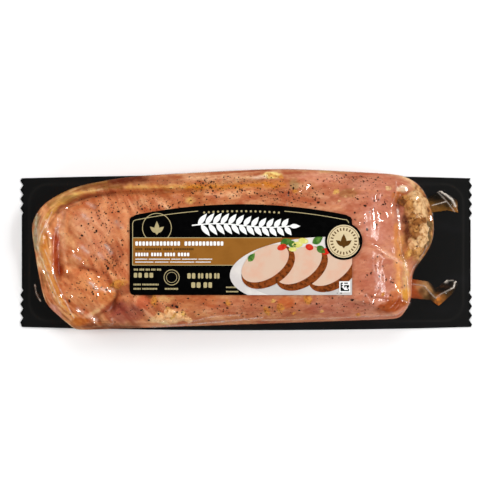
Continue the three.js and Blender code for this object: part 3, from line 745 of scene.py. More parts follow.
def between(tree, value, low, high, most=1.0):
    """The value stretched so that low becomes 0 and high becomes most."""
    spread = node(tree, "ShaderNodeMapRange", interpolation_type="SMOOTHSTEP")
    spread.inputs["From Min"].default_value = low
    spread.inputs["From Max"].default_value = high
    spread.inputs["To Max"].default_value = most
    tree.links.new(value, spread.inputs["Value"])
    return spread.outputs["Result"]


def tinted(tree, base, colour, share):
    """A base colour mixed with another by a share that varies over the surface."""
    mix = node(tree, "ShaderNodeMix", data_type="RGBA")
    for socket, value in (("A", base), ("B", colour)):
        target = [s for s in mix.inputs if s.name == socket and s.type == "RGBA"][0]
        if isinstance(value, tuple):
            target.default_value = (*value, 1)
        else:
            tree.links.new(value, target)
    tree.links.new(share, mix.inputs["Factor"])
    return [s for s in mix.outputs if s.type == "RGBA"][0]


def bumped(tree, shader, height, strength, distance):
    bump = node(tree, "ShaderNodeBump", Strength=strength, Distance=distance)
    tree.links.new(height, bump.inputs["Height"])
    tree.links.new(bump.outputs["Normal"], shader.inputs["Normal"])


def pork_material():
    material, tree, shader = new_material("raw pork")
    colour = node(tree, "ShaderNodeVertexColor", layer_name="flesh").outputs["Color"]
    layers = [
        (230, 4, (0.4, 1, 1), 30, 0.52, 0.74, 0.25, (232, 166, 114)),
        (170, 4, (0.5, 1, 1), -20, 0.52, 0.72, 0.25, (184, 94, 50)),
        (480, 3, (0.5, 1, 1), 30, 0.56, 0.72, 0.18, (170, 84, 58)),
        (800, 3, (0.4, 1, 1), 40, 0.58, 0.74, 0.18, (238, 180, 132)),
        (1400, 2, (1, 1, 1), 0, 0.66, 0.76, 0.3, (116, 56, 28)),
    ]
    for scale, detail, stretch, turn, low, high, most, layer in layers:
        share = between(tree, object_noise(tree, scale, detail, stretch, turn), low, high, most)
        colour = tinted(tree, colour, linear(layer), share)
    tree.links.new(colour, shader.inputs["Base Color"])
    shader.inputs["Roughness"].default_value = 0.5
    shader.inputs["Specular IOR Level"].default_value = 0.25
    shader.inputs["Subsurface Weight"].default_value = 0.08
    shader.inputs["Subsurface Radius"].default_value = (1, 0.4, 0.25)
    shader.inputs["Subsurface Scale"].default_value = 0.002
    bumped(tree, shader, object_noise(tree, 420, 4, (0.4, 1, 1), 30), 0.35, 0.0006)
    return material


def film_material():
    """Clear film: see-through, with a gloss that grows at a slant, fine wrinkles, and folds painted milky white,
    partly whitening and partly painted highlights and sheen.
    """
    material, tree, shader = new_material("clear vacuum film")
    tree.nodes.remove(shader)
    clear = node(tree, "ShaderNodeBsdfTransparent", Color=(0.985, 0.98, 0.965, 1))
    gloss = node(tree, "ShaderNodeBsdfGlossy", Color=(1, 1, 1, 1))
    crisp = node(tree, "ShaderNodeMapRange")
    crisp.inputs["To Min"].default_value = 0.21
    crisp.inputs["To Max"].default_value = 0.08
    tree.links.new(node(tree, "ShaderNodeAttribute", attribute_name="taut").outputs["Fac"], crisp.inputs["Value"])
    tree.links.new(crisp.outputs["Result"], gloss.inputs["Roughness"])
    # A white diffuse mixed in by the attribute paints the folds' milkiness, highlights and sheen.
    milk_highlight = node(tree, "ShaderNodeBsdfDiffuse", Color=(0.98, 0.87, 0.76, 1))
    facing = node(tree, "ShaderNodeLayerWeight", Blend=0.5).outputs["Facing"]
    slant = node(tree, "ShaderNodeMath", operation="POWER")
    slant.inputs[1].default_value = 5
    tree.links.new(facing, slant.inputs[0])
    share = node(tree, "ShaderNodeMapRange")
    share.inputs["To Min"].default_value = 0.06
    share.inputs["To Max"].default_value = 0.35
    tree.links.new(slant.outputs[0], share.inputs["Value"])
    folds = node(tree, "ShaderNodeAttribute", attribute_name="milk_highlight").outputs["Fac"]
    shine = node(tree, "ShaderNodeMixShader")
    tree.links.new(share.outputs["Result"], shine.inputs[0])
    tree.links.new(clear.outputs[0], shine.inputs[1])
    tree.links.new(gloss.outputs[0], shine.inputs[2])
    mix = node(tree, "ShaderNodeMixShader")
    tree.links.new(folds, mix.inputs[0])
    tree.links.new(shine.outputs[0], mix.inputs[1])
    tree.links.new(milk_highlight.outputs[0], mix.inputs[2])
    tree.links.new(mix.outputs[0], tree.nodes["Material Output"].inputs["Surface"])
    bumped(tree, gloss, object_noise(tree, 420, 3, (0.5, 1, 1), 50), 0.1, 0.0004)
    return material


def plain_material(name, colour, second, roughness, scale=200, share=0.6, specular=0.3, bump=0.0):
    """A finish of one colour with a second one clouded into it."""
    material, tree, shader = new_material(name)
    cloud = between(tree, object_noise(tree, scale, 4), 0.42, 0.66, share)
    tree.links.new(tinted(tree, linear(colour), linear(second), cloud), shader.inputs["Base Color"])
    shader.inputs["Roughness"].default_value = roughness
    shader.inputs["Specular IOR Level"].default_value = specular
    if bump:
        bumped(tree, shader, object_noise(tree, scale * 2, 4), bump, 0.0005)
    return material


def juice_material():
    """Cloudy juice under the film: its colour and how dense it is come from the piece, with darker clouds in it."""
    material, tree, shader = new_material("juice")
    own = node(tree, "ShaderNodeVertexColor", layer_name="juice")
    cloud = between(tree, object_noise(tree, 260, 4, (0.6, 1, 1), 30), 0.45, 0.7, 0.6)
    tree.links.new(tinted(tree, own.outputs["Color"], linear((84, 50, 24)), cloud), shader.inputs["Base Color"])
    tree.links.new(own.outputs["Alpha"], shader.inputs["Alpha"])
    shader.inputs["Roughness"].default_value = 0.3
    return material


def web_material():
    material, tree, shader = new_material("black web")
    scuffs = between(tree, object_noise(tree, 60, 5, (0.3, 1, 1), 10), 0.5, 0.8, 0.6)
    tree.links.new(tinted(tree, linear((14, 14, 14)), linear((24, 24, 27)), scuffs), shader.inputs["Base Color"])
    shader.inputs["Roughness"].default_value = 0.3
    shader.inputs["Specular IOR Level"].default_value = 0.2
    bumped(tree, shader, object_noise(tree, 45, 3), 0.15, 0.002)
    return material


# The stage and the camera
def add_stage():
    bm = bmesh.new()
    bmesh.ops.create_grid(bm, x_segments=2, y_segments=2, size=4)
    mesh = bpy.data.meshes.new("floor")
    bm.to_mesh(mesh)
    bm.free()
    floor = bpy.data.objects.new("floor", mesh)
    floor.location.z = -0.0004
    bpy.context.scene.collection.objects.link(floor)
    material, _, shader = new_material("pale floor")
    shader.inputs["Base Color"].default_value = (0.93, 0.93, 0.93, 1)
    shader.inputs["Roughness"].default_value = 0.9
    shader.inputs["Specular IOR Level"].default_value = 0.1
    mesh.materials.append(material)
    floor.visible_glossy = False


def add_lamp(name, place, size, power, mirrored):
    """A rectangular lamp turned to the pack. The film mirrors only the strip lamp, so its glints stay crisp."""
    lamp = bpy.data.lights.new(name, "AREA")
    lamp.shape = "RECTANGLE"
    lamp.size, lamp.size_y = size
    lamp.energy = power
    holder = bpy.data.objects.new(name, lamp)
    holder.location = place * MM
    holder.rotation_euler = place.to_track_quat("Z", "Y").to_euler()
    holder.visible_glossy = mirrored
    bpy.context.scene.collection.objects.link(holder)


def add_camera():
    lens = bpy.data.cameras.new("camera")
    lens.sensor_width = SENSOR
    lens.lens = SENSOR * CAMERA_HEIGHT / (2 * PHOTO_MIDDLE * MM_PER_PIXEL)
    lens.clip_start, lens.clip_end = 0.05, 20
    holder = bpy.data.objects.new("camera", lens)
    holder.location = CAMERA_PLACE * MM
    bpy.context.scene.collection.objects.link(holder)
    bpy.context.scene.camera = holder


def light_scene():
    world = bpy.data.worlds.new("studio")
    world.use_nodes = True
    world.node_tree.nodes["Background"].inputs["Color"].default_value = (1, 1, 1, 1)
    world.node_tree.nodes["Background"].inputs["Strength"].default_value = 0.05
    bpy.context.scene.world = world
    bpy.context.scene.view_settings.view_transform = "Standard"
    add_lamp("strip", STRIP_LAMP, STRIP_SIZE, 3, True)
    add_lamp("key softbox", lamp_place(8, 44, 1300), (0.4, 0.4), 5, False)
    add_lamp("left softbox", lamp_place(165, 56, 1500), (1.1, 1.0), 12.5, False)
    add_lamp("upper softbox", lamp_place(95, 52, 1500), (1.4, 0.9), 12.5, False)
    add_lamp("lower softbox", lamp_place(275, 60, 1500), (1.4, 0.9), 9, False)
    add_lamp("right softbox", lamp_place(350, 62, 1600), (1.0, 0.8), 7, False)


# The fillet, its seasoning and the film over them
def add_fillet():
    bm, ring, angle = grid_strip(440, 200)
    bmesh.ops.edgeloop_fill(bm, edges=[e for e in bm.edges if e.is_boundary])
    x, y, z = lay_over(ring, angle, 0.88, 1.0, top_height, 0)
    relief = flesh_relief(x, y)
    on_top = ring < 0.88
    z = z + (relief + 0.5 * lump_relief(x, y)) * on_top
    place_points(bm, x, y, np.where(on_top, np.minimum(z, film_height(x, y) - 0.1), z))
    colours = fillet_colours(x, y, z, relief)
    piece = add_object("pork_fillet", bm, pork_material(), "film_sealed_fillet")
    flesh = piece.data.color_attributes.new("flesh", "FLOAT_COLOR", "POINT")
    flesh.data.foreach_set("color", np.column_stack([colours, np.ones(len(colours))]).astype(np.float32).ravel())


def add_film(name, columns, left, right, material, flats):
    """A strip of the film: over the fillet, down its side and out over the web to the sealed edge."""
    bm, ring, angle = grid_strip(columns, 300, left, right)
    top_end, wall_end, proud = 0.74, 0.8, 0.35
    x, y, z = lay_over(ring, angle, top_end, wall_end, film_height, proud)
    distance = outline_distance(angle) + proud
    foot_x, foot_y = foot_place(HEART[0] + distance * np.cos(angle), HEART[1] + distance * np.sin(angle))
    edge = web_edge_distance(angle)
    edge_x, edge_y = HEART[0] + edge * np.cos(angle), HEART[1] + edge * np.sin(angle)
    out = np.clip((ring - wall_end) / (1 - wall_end), 0, 1)
    on_web = ring > wall_end
    x = np.where(on_web, foot_x + (edge_x - foot_x) * out, x)
    y = np.where(on_web, foot_y + (edge_y - foot_y) * out, y)
    pucker = np.array([noise.fractal((px / 5, py / 9, 3), 1.0, 2.0, 3) for px, py in zip(x, y)])
    seal = np.exp(-((seam_distance(x, y) / 0.7) ** 2))
    low = WEB_TOP + 0.12 + 0.03 * seal + 0.05 * np.abs(pucker) * ramp(1 - out, 0, 0.6)
    fall = np.exp(-out * 14)
    z = np.where(on_web, low * (1 - fall) + (SEAT + 0.1) * fall, z)
    on_side = (ring > top_end) & (ring < wall_end + 0.01)
    laid, taut = with_glints(x, y, z, flats)
    place_points(bm, x, y, np.where(on_side, z, laid))
    piece = add_object(name, bm, material, "film_sealed_fillet")
    # Painted milkiness, highlights and sheen along the film's folds.
    add_values(piece, "milk_highlight", milk_and_highlight_share(x, y))
    add_values(piece, "taut", taut)


def seen_points(bm):
    """The mesh's points, as arrays of x and y."""
    return np.array([v.co.x for v in bm.verts]), np.array([v.co.y for v in bm.verts])


def press_under_film(bm, gap):
    """The film flattens whatever would stand out of it."""
    for v, most in zip(bm.verts, film_height(*seen_points(bm)) - gap):
        v.co.z = min(v.co.z, most)


def grain(bm, x, y, z, size, flat, rand, subdivisions=1):
    """One small irregular grain."""
    turn = Matrix.Rotation(rand.uniform(0, 6.28), 4, "Z") @ Matrix.Rotation(rand.uniform(-0.5, 0.5), 4, "X")
    shape = Matrix.Diagonal((size * rand.uniform(0.8, 1.3), size * rand.uniform(0.6, 1), size * flat, 1))
    made = bmesh.ops.create_icosphere(bm, subdivisions=subdivisions, radius=1, matrix=turn @ shape)
    for v in made["verts"]:
        start = v.co * (1.3 / size) + Vector((x, y, 0))
        v.co += Vector((x, y, z)) + size * (0.3 * noise.noise_vector(start) + 0.1 * noise.noise_vector(start * 3))


# Coarse pepper that shows singly: photo place and radius
COARSE_PEPPER = [
    (99, 211, 0.8), (118.5, 211.5, 0.9), (106, 213.7, 0.8), (142, 209, 0.8), (159, 205.5, 0.8), (153.5, 191.4, 0.6),
    (193, 193.7, 0.8), (213, 191, 0.9), (205.7, 182, 0.8), (213.8, 182, 0.9), (242, 190.5, 0.7), (261.4, 196, 0.8),
    (288.5, 193.2, 0.8), (293.4, 187.8, 0.8), (318.3, 202.4, 1.1), (325.4, 203, 0.9), (346, 175.3, 0.9),
    (375.6, 180, 0.9), (374.2, 200.8, 0.8), (365, 205.7, 1.1), (354.7, 212.7, 0.8), (69.4, 301, 1.2),
    (96.5, 231, 0.9), (82, 235.5, 0.9), (81.4, 225.7, 0.7), (108, 268.5, 1.0), (119.9, 256.6, 0.9), (93.3, 294, 0.9),
    (106.3, 289.7, 0.8), (352.3, 299.7, 1.2), (332.4, 298.2, 0.8), (316.6, 303.8, 0.9), (299.3, 310.4, 0.8),
    (176.7, 306.7, 1.4), (172.4, 305.5, 1.0), (158.5, 314, 0.9), (148.8, 320, 0.9), (198.5, 314.5, 0.8),
    (188, 298.4, 0.8), (376.3, 224.7, 0.8), (367, 229.5, 1.0), (379.5, 276.2, 1.0), (370.8, 273.5, 0.7),
    (391, 282, 0.7), (406, 221.4, 0.8), (390.6, 295.3, 0.8), (261, 313.3, 0.7), (344, 306.5, 0.7),
]
# How thickly the fine pepper lies: photo place, half length, half width, weight
PEPPER_DRIFTS = [
    (140, 204, 60, 12, 1.0), (100, 225, 30, 26, 0.55), (215, 190, 60, 10, 0.9), (290, 196, 44, 12, 0.9),
    (110, 262, 22, 24, 0.8), (90, 290, 26, 20, 0.4), (150, 306, 40, 14, 0.6), (240, 308, 60, 10, 0.7),
    (350, 304, 40, 12, 0.4), (370, 200, 30, 30, 0.5), (380, 275, 20, 30, 0.35), (416, 220, 14, 34, 0.3),
    (225, 180, 55, 5, 0.6), (350, 180, 30, 7, 0.5),
]


def add_pepper():
    rand = random.Random(5)
    bm = bmesh.new()
    places = [(*on_pack(px, py), radius * 0.92) for px, py, radius in COARSE_PEPPER]
    while len(places) < 2100:
        px, py, long, wide, weight = rand.choice(PEPPER_DRIFTS)
        if rand.random() < weight:
            spot = from_photo(px + rand.gauss(0, long * 0.55), py + rand.gauss(0, wide * 0.55), 24)
            places.append((*spot, 0.2 + 0.45 * rand.random() ** 3))
    x, y = (np.array([p[i] for p in places]) for i in (0, 1))
    ground = top_height(x, y) + flesh_relief(x, y) + lump_relief(x, y) * 0.8
    for (px, py, size), deep, z in zip(places, outer_inside(x, y), ground):
        if deep > 2.5:
            grain(bm, px, py, z + 0.35 * size, size, 0.5, rand)
    press_under_film(bm, 0.05)
    add_object("pepper", bm, plain_material("cracked pepper", (32, 14, 8), (70, 34, 16), 0.6, 900))


def add_lumps():
    """Pale, tan and brown seasoning in clumps of soft flakes, each colour its own piece."""
    for shade, (colour, second) in LUMP_COLOURS.items():
        rand = random.Random(len(shade) + colour[2])
        bm = bmesh.new()
        for px, py, long, wide, turn, rise, own in LUMPS:
            if own != shade:
                continue
            cx, cy = on_pack(px, py)
            c, s = math.cos(math.radians(turn)), math.sin(math.radians(turn))
            for i in range(3 + int(long * wide * 0.5)):
                r, a = (math.sqrt(rand.random()), rand.uniform(0, 6.28)) if i else (0, 0)
                u, v = r * math.cos(a) * long * 0.75, r * math.sin(a) * wide * 0.75
                gx, gy = cx + u * c - v * s, cy + u * s + v * c
                spot = (np.array([gx]), np.array([gy]))
                ground = float(top_height(*spot)[0] + flesh_relief(*spot)[0] + 0.5 * lump_relief(*spot)[0])
                size = (rand.uniform(0.25, 0.5) if i else 0.85) * math.sqrt(long * wide)
                flat = min(0.4, rise / size * 0.6)
                if outer_inside(*spot)[0] > size + 1:
                    grain(bm, gx, gy, ground + rise * (1 - r) * 0.1, size, flat, rand, 4 if size > 2 else 2)
        press_under_film(bm, 0.12)
        material = plain_material(f"{shade} seasoning", colour, second, 0.5, 330, 0.9, bump=0.5)
        add_object(f"seasoning_{shade}", bm, material)


# Tents of film over juice at the right end: corner points with their height over the foot of the fillet
TENTS = {
    "upper": [
        [(108, 24, 0), (108, 29, 5.5), (124, 31.5, 4.2), (135, 34.2, 4.4),
         (125, 27, 0), (137, 28, 0), (131, 42.3, 0), (142, 30.5, 0.2)],
        [(134, 33.6, 3.6), (131, 42.3, 1.6), (141.6, 30.2, 1.9), (143.7, 26, 0),
         (129, 34, 0), (134, 28, 0), (143, 36, 0)],
    ],
    "lower": [
        [(98, -20, 0), (98, -22, 6), (120.7, -22.5, 3.8), (106, -31, 0),
         (116, -28.5, 0), (127, -33, 0), (124, -19, 0), (106, -16, 0)],
        [(120.7, -22.5, 3.6), (128.1, -31, 3.6), (118, -28, 0), (130, -37, 0), (133, -30, 0), (125, -20, 0)],
        [(128.1, -31, 3.5), (131.5, -28.6, 3.2), (139, -24.6, 2.4), (142.3, -19.2, 1.2), (130, -37, 0),
         (139, -29, 0), (144, -21, 0), (136, -17, 0), (127, -24, 0)],
    ],
}
# Juice held in the tents, as photo spots: x, y, radius in pixels, colour, density
JUICE_SPOTS = {
    "upper": [
        (436, 208.5, 3.5, (138, 94, 34), 0.95), (446, 210.5, 3.5, (132, 88, 28), 0.95),
        (454, 213, 3, (154, 100, 34), 0.95), (438, 203.5, 3, (66, 44, 14), 0.85),
        (447, 206, 3, (58, 40, 12), 0.8), (438, 197, 3.5, (28, 20, 8), 0.6),
        (446, 200, 3, (34, 26, 10), 0.5), (441, 191, 4, (20, 18, 12), 0.3),
    ],
    "lower": [
        (412, 285, 3.5, (176, 80, 28), 1), (413, 292, 4, (164, 72, 26), 1),
        (418, 286.5, 3, (192, 128, 74), 0.95), (424, 287, 2.5, (208, 156, 104), 0.9),
        (421, 290.5, 2.5, (118, 70, 30), 0.9), (427.5, 291.5, 2.5, (180, 132, 82), 0.85),
        (429, 295.5, 2.5, (96, 66, 30), 0.85), (433.5, 298, 2, (140, 98, 52), 0.85),
        (431, 300.5, 2.5, (74, 44, 16), 0.8), (438.7, 301, 3, (214, 126, 40), 1),
        (437, 305, 2.5, (156, 80, 26), 0.95), (443, 298, 3, (140, 86, 34), 0.9),
        (449, 294, 3.5, (70, 48, 20), 0.85), (454, 289, 3, (44, 36, 20), 0.6),
        (444, 284, 6, (16, 16, 16), 0.3), (456, 282, 3, (40, 38, 30), 0.4),
    ],
}
# Where the tents' film is painted milky white, partly whitening and partly painted highlights, as photo paths:
# strength, half width in pixels, path
TENT_MILK_HIGHLIGHTS = [
    (0.75, 1.0, [(440, 190.5), (446.7, 195), (452.2, 199.4), (455.6, 206)]),
    (0.6, 0.45, [(431.7, 205.5), (445.5, 201.7)]), (0.7, 0.9, [(441, 188.3), (441.2, 188.6)]),
    (0.3, 0.5, [(437.8, 191.7), (446.7, 201.7), (456.7, 213.9)]),
    (0.35, 0.6, [(411, 283.8), (423.8, 285.6), (430, 292.5), (435, 298)]),
    (0.3, 0.5, [(435, 298), (441, 293.8), (451, 288.8)]),
    (0.75, 0.6, [(451, 288.8), (453.8, 287.5), (455, 282.5), (456.9, 280.6)]),
    (0.8, 1.6, [(443.8, 279.4), (446.2, 281)]), (0.3, 0.5, [(446, 281), (456, 280)]),
]
TENT_MESH = 0.4


def tent_body(hulls, inset):
    """Taut forms over corner points, joined into one closed body of even mesh that is a little uneven on top."""
    bm = bmesh.new()
    for points in hulls:
        corners = [bm.verts.new((x, y, SEAT + z)) for x, y, z in points]
        made = bmesh.ops.convex_hull(bm, input=corners)
        spare = {v for v in made["geom_interior"] + made["geom_unused"] if isinstance(v, bmesh.types.BMVert)}
        bmesh.ops.delete(bm, geom=list(spare), context="VERTS")
    mesh = bpy.data.meshes.new("tent draft")
    bm.to_mesh(mesh)
    bm.free()
    draft = bpy.data.objects.new("tent draft", mesh)
    bpy.context.scene.collection.objects.link(draft)
    even = draft.modifiers.new("even mesh", "REMESH")
    even.mode = "VOXEL"
    even.voxel_size = TENT_MESH
    bm = bmesh.new()
    bm.from_object(draft, bpy.context.evaluated_depsgraph_get())
    bpy.data.objects.remove(draft)
    bpy.data.meshes.remove(mesh)
    for _ in range(2):
        bmesh.ops.smooth_vert(bm, verts=bm.verts, factor=0.5, use_axis_x=True, use_axis_y=True, use_axis_z=True)
    bm.normal_update()
    for v in bm.verts:
        lift = min(1.0, max(0.0, v.co.z - SEAT - 0.2))
        v.co -= v.normal * inset
        v.co.z += lift * (0.35 * noise.noise(v.co / 2.6) + 0.12 * noise.noise(v.co / 0.9))
    return bm


def add_tents(film):
    juice = juice_material()
    for side, hulls in TENTS.items():
        bm = tent_body(hulls, 0)
        x, y = seen_points(bm)
        # Painted milkiness and highlights on the tents' film.
        tent_milk_highlight = np.zeros_like(x)
        for strength, half_width, path in TENT_MILK_HIGHLIGHTS:
            spots = [from_photo(px, py, 3) for px, py in path]
            tent_milk_highlight = np.maximum(tent_milk_highlight, strength * band(x, y, spots, half_width * MM_PER_PIXEL))
        tent_milk_highlight *= 0.6 + 0.4 * smooth(clouds(x / 1.2, y / 1.2, 43, 2) + 0.5)
        add_values(add_object(f"film_tent_{side}", bm, film, "film_sealed_fillet"), "milk_highlight", tent_milk_highlight)

        bm = tent_body(hulls, 0.35)
        x, y = seen_points(bm)
        total = np.zeros_like(x)
        look = np.zeros((len(x), 4))
        for px, py, radius, colour, density in JUICE_SPOTS[side]:
            sx, sy = from_photo(px, py, 2)
            weight = np.exp(-np.hypot(x - sx, y - sy) / (radius * MM_PER_PIXEL * 0.4)) + 1e-9
            total += weight
            look += weight[:, None] * np.array([*linear(colour), density])
        piece = add_object(f"juice_{side}", bm, juice)
        layer = piece.data.color_attributes.new("juice", "FLOAT_COLOR", "POINT")
        layer.data.foreach_set("color", (look / total[:, None]).astype(np.float32).ravel())


# The label and its print. Places on it are u and v, in mm from its lower left corner.
def label_height(x, y):
    return top_height(x, y) + LABEL_LIFT


def arc(middle, radius, start, end, steps):
    turns = np.radians(np.linspace(start, end, steps + 1))
    return [(middle[0] + radius * math.cos(t), middle[1] + radius * math.sin(t)) for t in turns]


def arch_v(u):
    """Height of the label's arched upper edge."""
    return LABEL_SHOULDER + 0.6 + (LABEL_ARCH - 0.6) * (1 - ((u - LABEL_WIDTH / 2) / (LABEL_WIDTH / 2)) ** 2)


def label_outline():
    right, r = LABEL_WIDTH, LABEL_CORNER
    lobe = (LOBE_MIDDLE[0] - LABEL_LEFT, LOBE_MIDDLE[1] - LABEL_BOTTOM)
    meet = math.degrees(math.acos((right - lobe[0]) / LOBE_RADIUS))
    points = arc((right - r, r), r, 270, 360, 5) + arc(lobe, LOBE_RADIUS, -meet, meet, 28)
    points += arc((right - r, LABEL_SHOULDER - r + 0.6), r, 0, 80, 5)
    points += [(u, arch_v(u)) for u in np.linspace(right - r - 1, r + 1, 40)]
    points += arc((r, LABEL_SHOULDER - r + 0.6), r, 100, 180, 5) + arc((r, r), r, 180, 270, 5)
    return points


def cut(bm, spot, normal, clear=False):
    geometry = bm.verts[:] + bm.edges[:] + bm.faces[:]
    bmesh.ops.bisect_plane(bm, geom=geometry, plane_co=spot, plane_no=normal, clear_outer=clear)


def drape(bm, layer, step=2.5):
    """Cuts flat shapes along a lattice and lays them on the label. Each layer of ink lies over the one before."""
    for u in np.arange(step, LABEL_WIDTH + 5, step):
        cut(bm, (u, 0, 0), (1, 0, 0))
    for v in np.arange(step, LABEL_SHOULDER + LABEL_ARCH, step):
        cut(bm, (0, v, 0), (0, 1, 0))
    bm.normal_update()
    bmesh.ops.reverse_faces(bm, faces=[face for face in bm.faces if face.normal.z < 0])
    x = np.array([v.co.x for v in bm.verts]) + LABEL_LEFT
    y = np.array([v.co.y for v in bm.verts]) + LABEL_BOTTOM
    place_points(bm, x, y, label_height(x, y) + layer * 0.035)


def flat_shape(bm, points):
    """A flat disc drawn out to an outline that goes round anticlockwise."""
    made = bmesh.ops.create_circle(bm, cap_ends=True, segments=len(points), radius=1)
    order = sorted(made["verts"], key=lambda v: math.atan2(v.co.y, v.co.x))
    for v, (pu, pv) in zip(order, points):
        v.co = (pu, pv, 0)


def oval(middle, half_length, half_width, turn=0, steps=40):
    c, s = math.cos(math.radians(turn)), math.sin(math.radians(turn))
    points = arc((0, 0), 1, 0, 360 * (steps - 1) / steps, steps - 1)
    return [(middle[0] + u * half_length * c - v * half_width * s,
             middle[1] + u * half_length * s + v * half_width * c) for u, v in points]


def bar(left, low, right, high, r=0.0):
    if r == 0:
        return [(left, low), (right, low), (right, high), (left, high)]
    return (arc((right - r, low + r), r, 270, 360, 4) + arc((right - r, high - r), r, 0, 90, 4)
            + arc((left + r, high - r), r, 90, 180, 4) + arc((left + r, low + r), r, 180, 270, 4))


def stroke(bm, path, width):
    """A line of even width along a path: a narrow grid moved onto it."""
    points = [Vector(p) for p in path]
    made = bmesh.ops.create_grid(bm, x_segments=len(points) - 1, y_segments=1, size=1)
    for v in made["verts"]:
        i = round((v.co.x + 1) / 2 * (len(points) - 1))
        ahead = points[min(i + 1, len(points) - 1)] - points[max(i - 1, 0)]
        across = Vector((-ahead.y, ahead.x)).normalized() * width / 2
        v.co = (*(points[i] + across * (1 if v.co.y > 0 else -1)), 0)


def print_piece(name, layer, material, shapes, strokes=(), trimmed=False):
    bm = bmesh.new()
    for points in shapes:
        flat_shape(bm, points)
    for path, width in strokes:
        stroke(bm, path, width)
    if trimmed:
        cut(bm, (LABEL_WIDTH - 0.05, 0, 0), (1, 0, 0), True)
        cut(bm, (0, 0.05, 0), (0, -1, 0), True)
    drape(bm, layer)
    add_object(name, bm, material)


def words(left, low, high, lengths, gap):
    """A line of print as rows of small blocks, with no lettering."""
    blocks, u, tall = [], left, high - low
    for length in lengths:
        count = max(2, round(length / tall / 0.85))
        pitch = length / count
        blocks += [bar(u + i * pitch, low, u + (i + 0.74) * pitch, high, 0.2 * tall) for i in range(count)]
        u += length + gap
    return blocks


def leaf(root, length, width, turn):
    """A pointed leaf from its root."""
    c, s = math.cos(math.radians(turn)), math.sin(math.radians(turn))
    half = [(length * t, -width * math.sin(math.pi * t ** 0.8)) for t in np.linspace(0, 1, 9)]
    outline = half + [(a, -b) for a, b in half[-2:0:-1]]
    return [(root[0] + a * c - b * s, root[1] + a * s + b * c) for a, b in outline]


def ink(name, colour, second, scale=200, share=0.5):
    return plain_material(f"{name} ink", colour, second, 0.5, scale, share, 0.05)


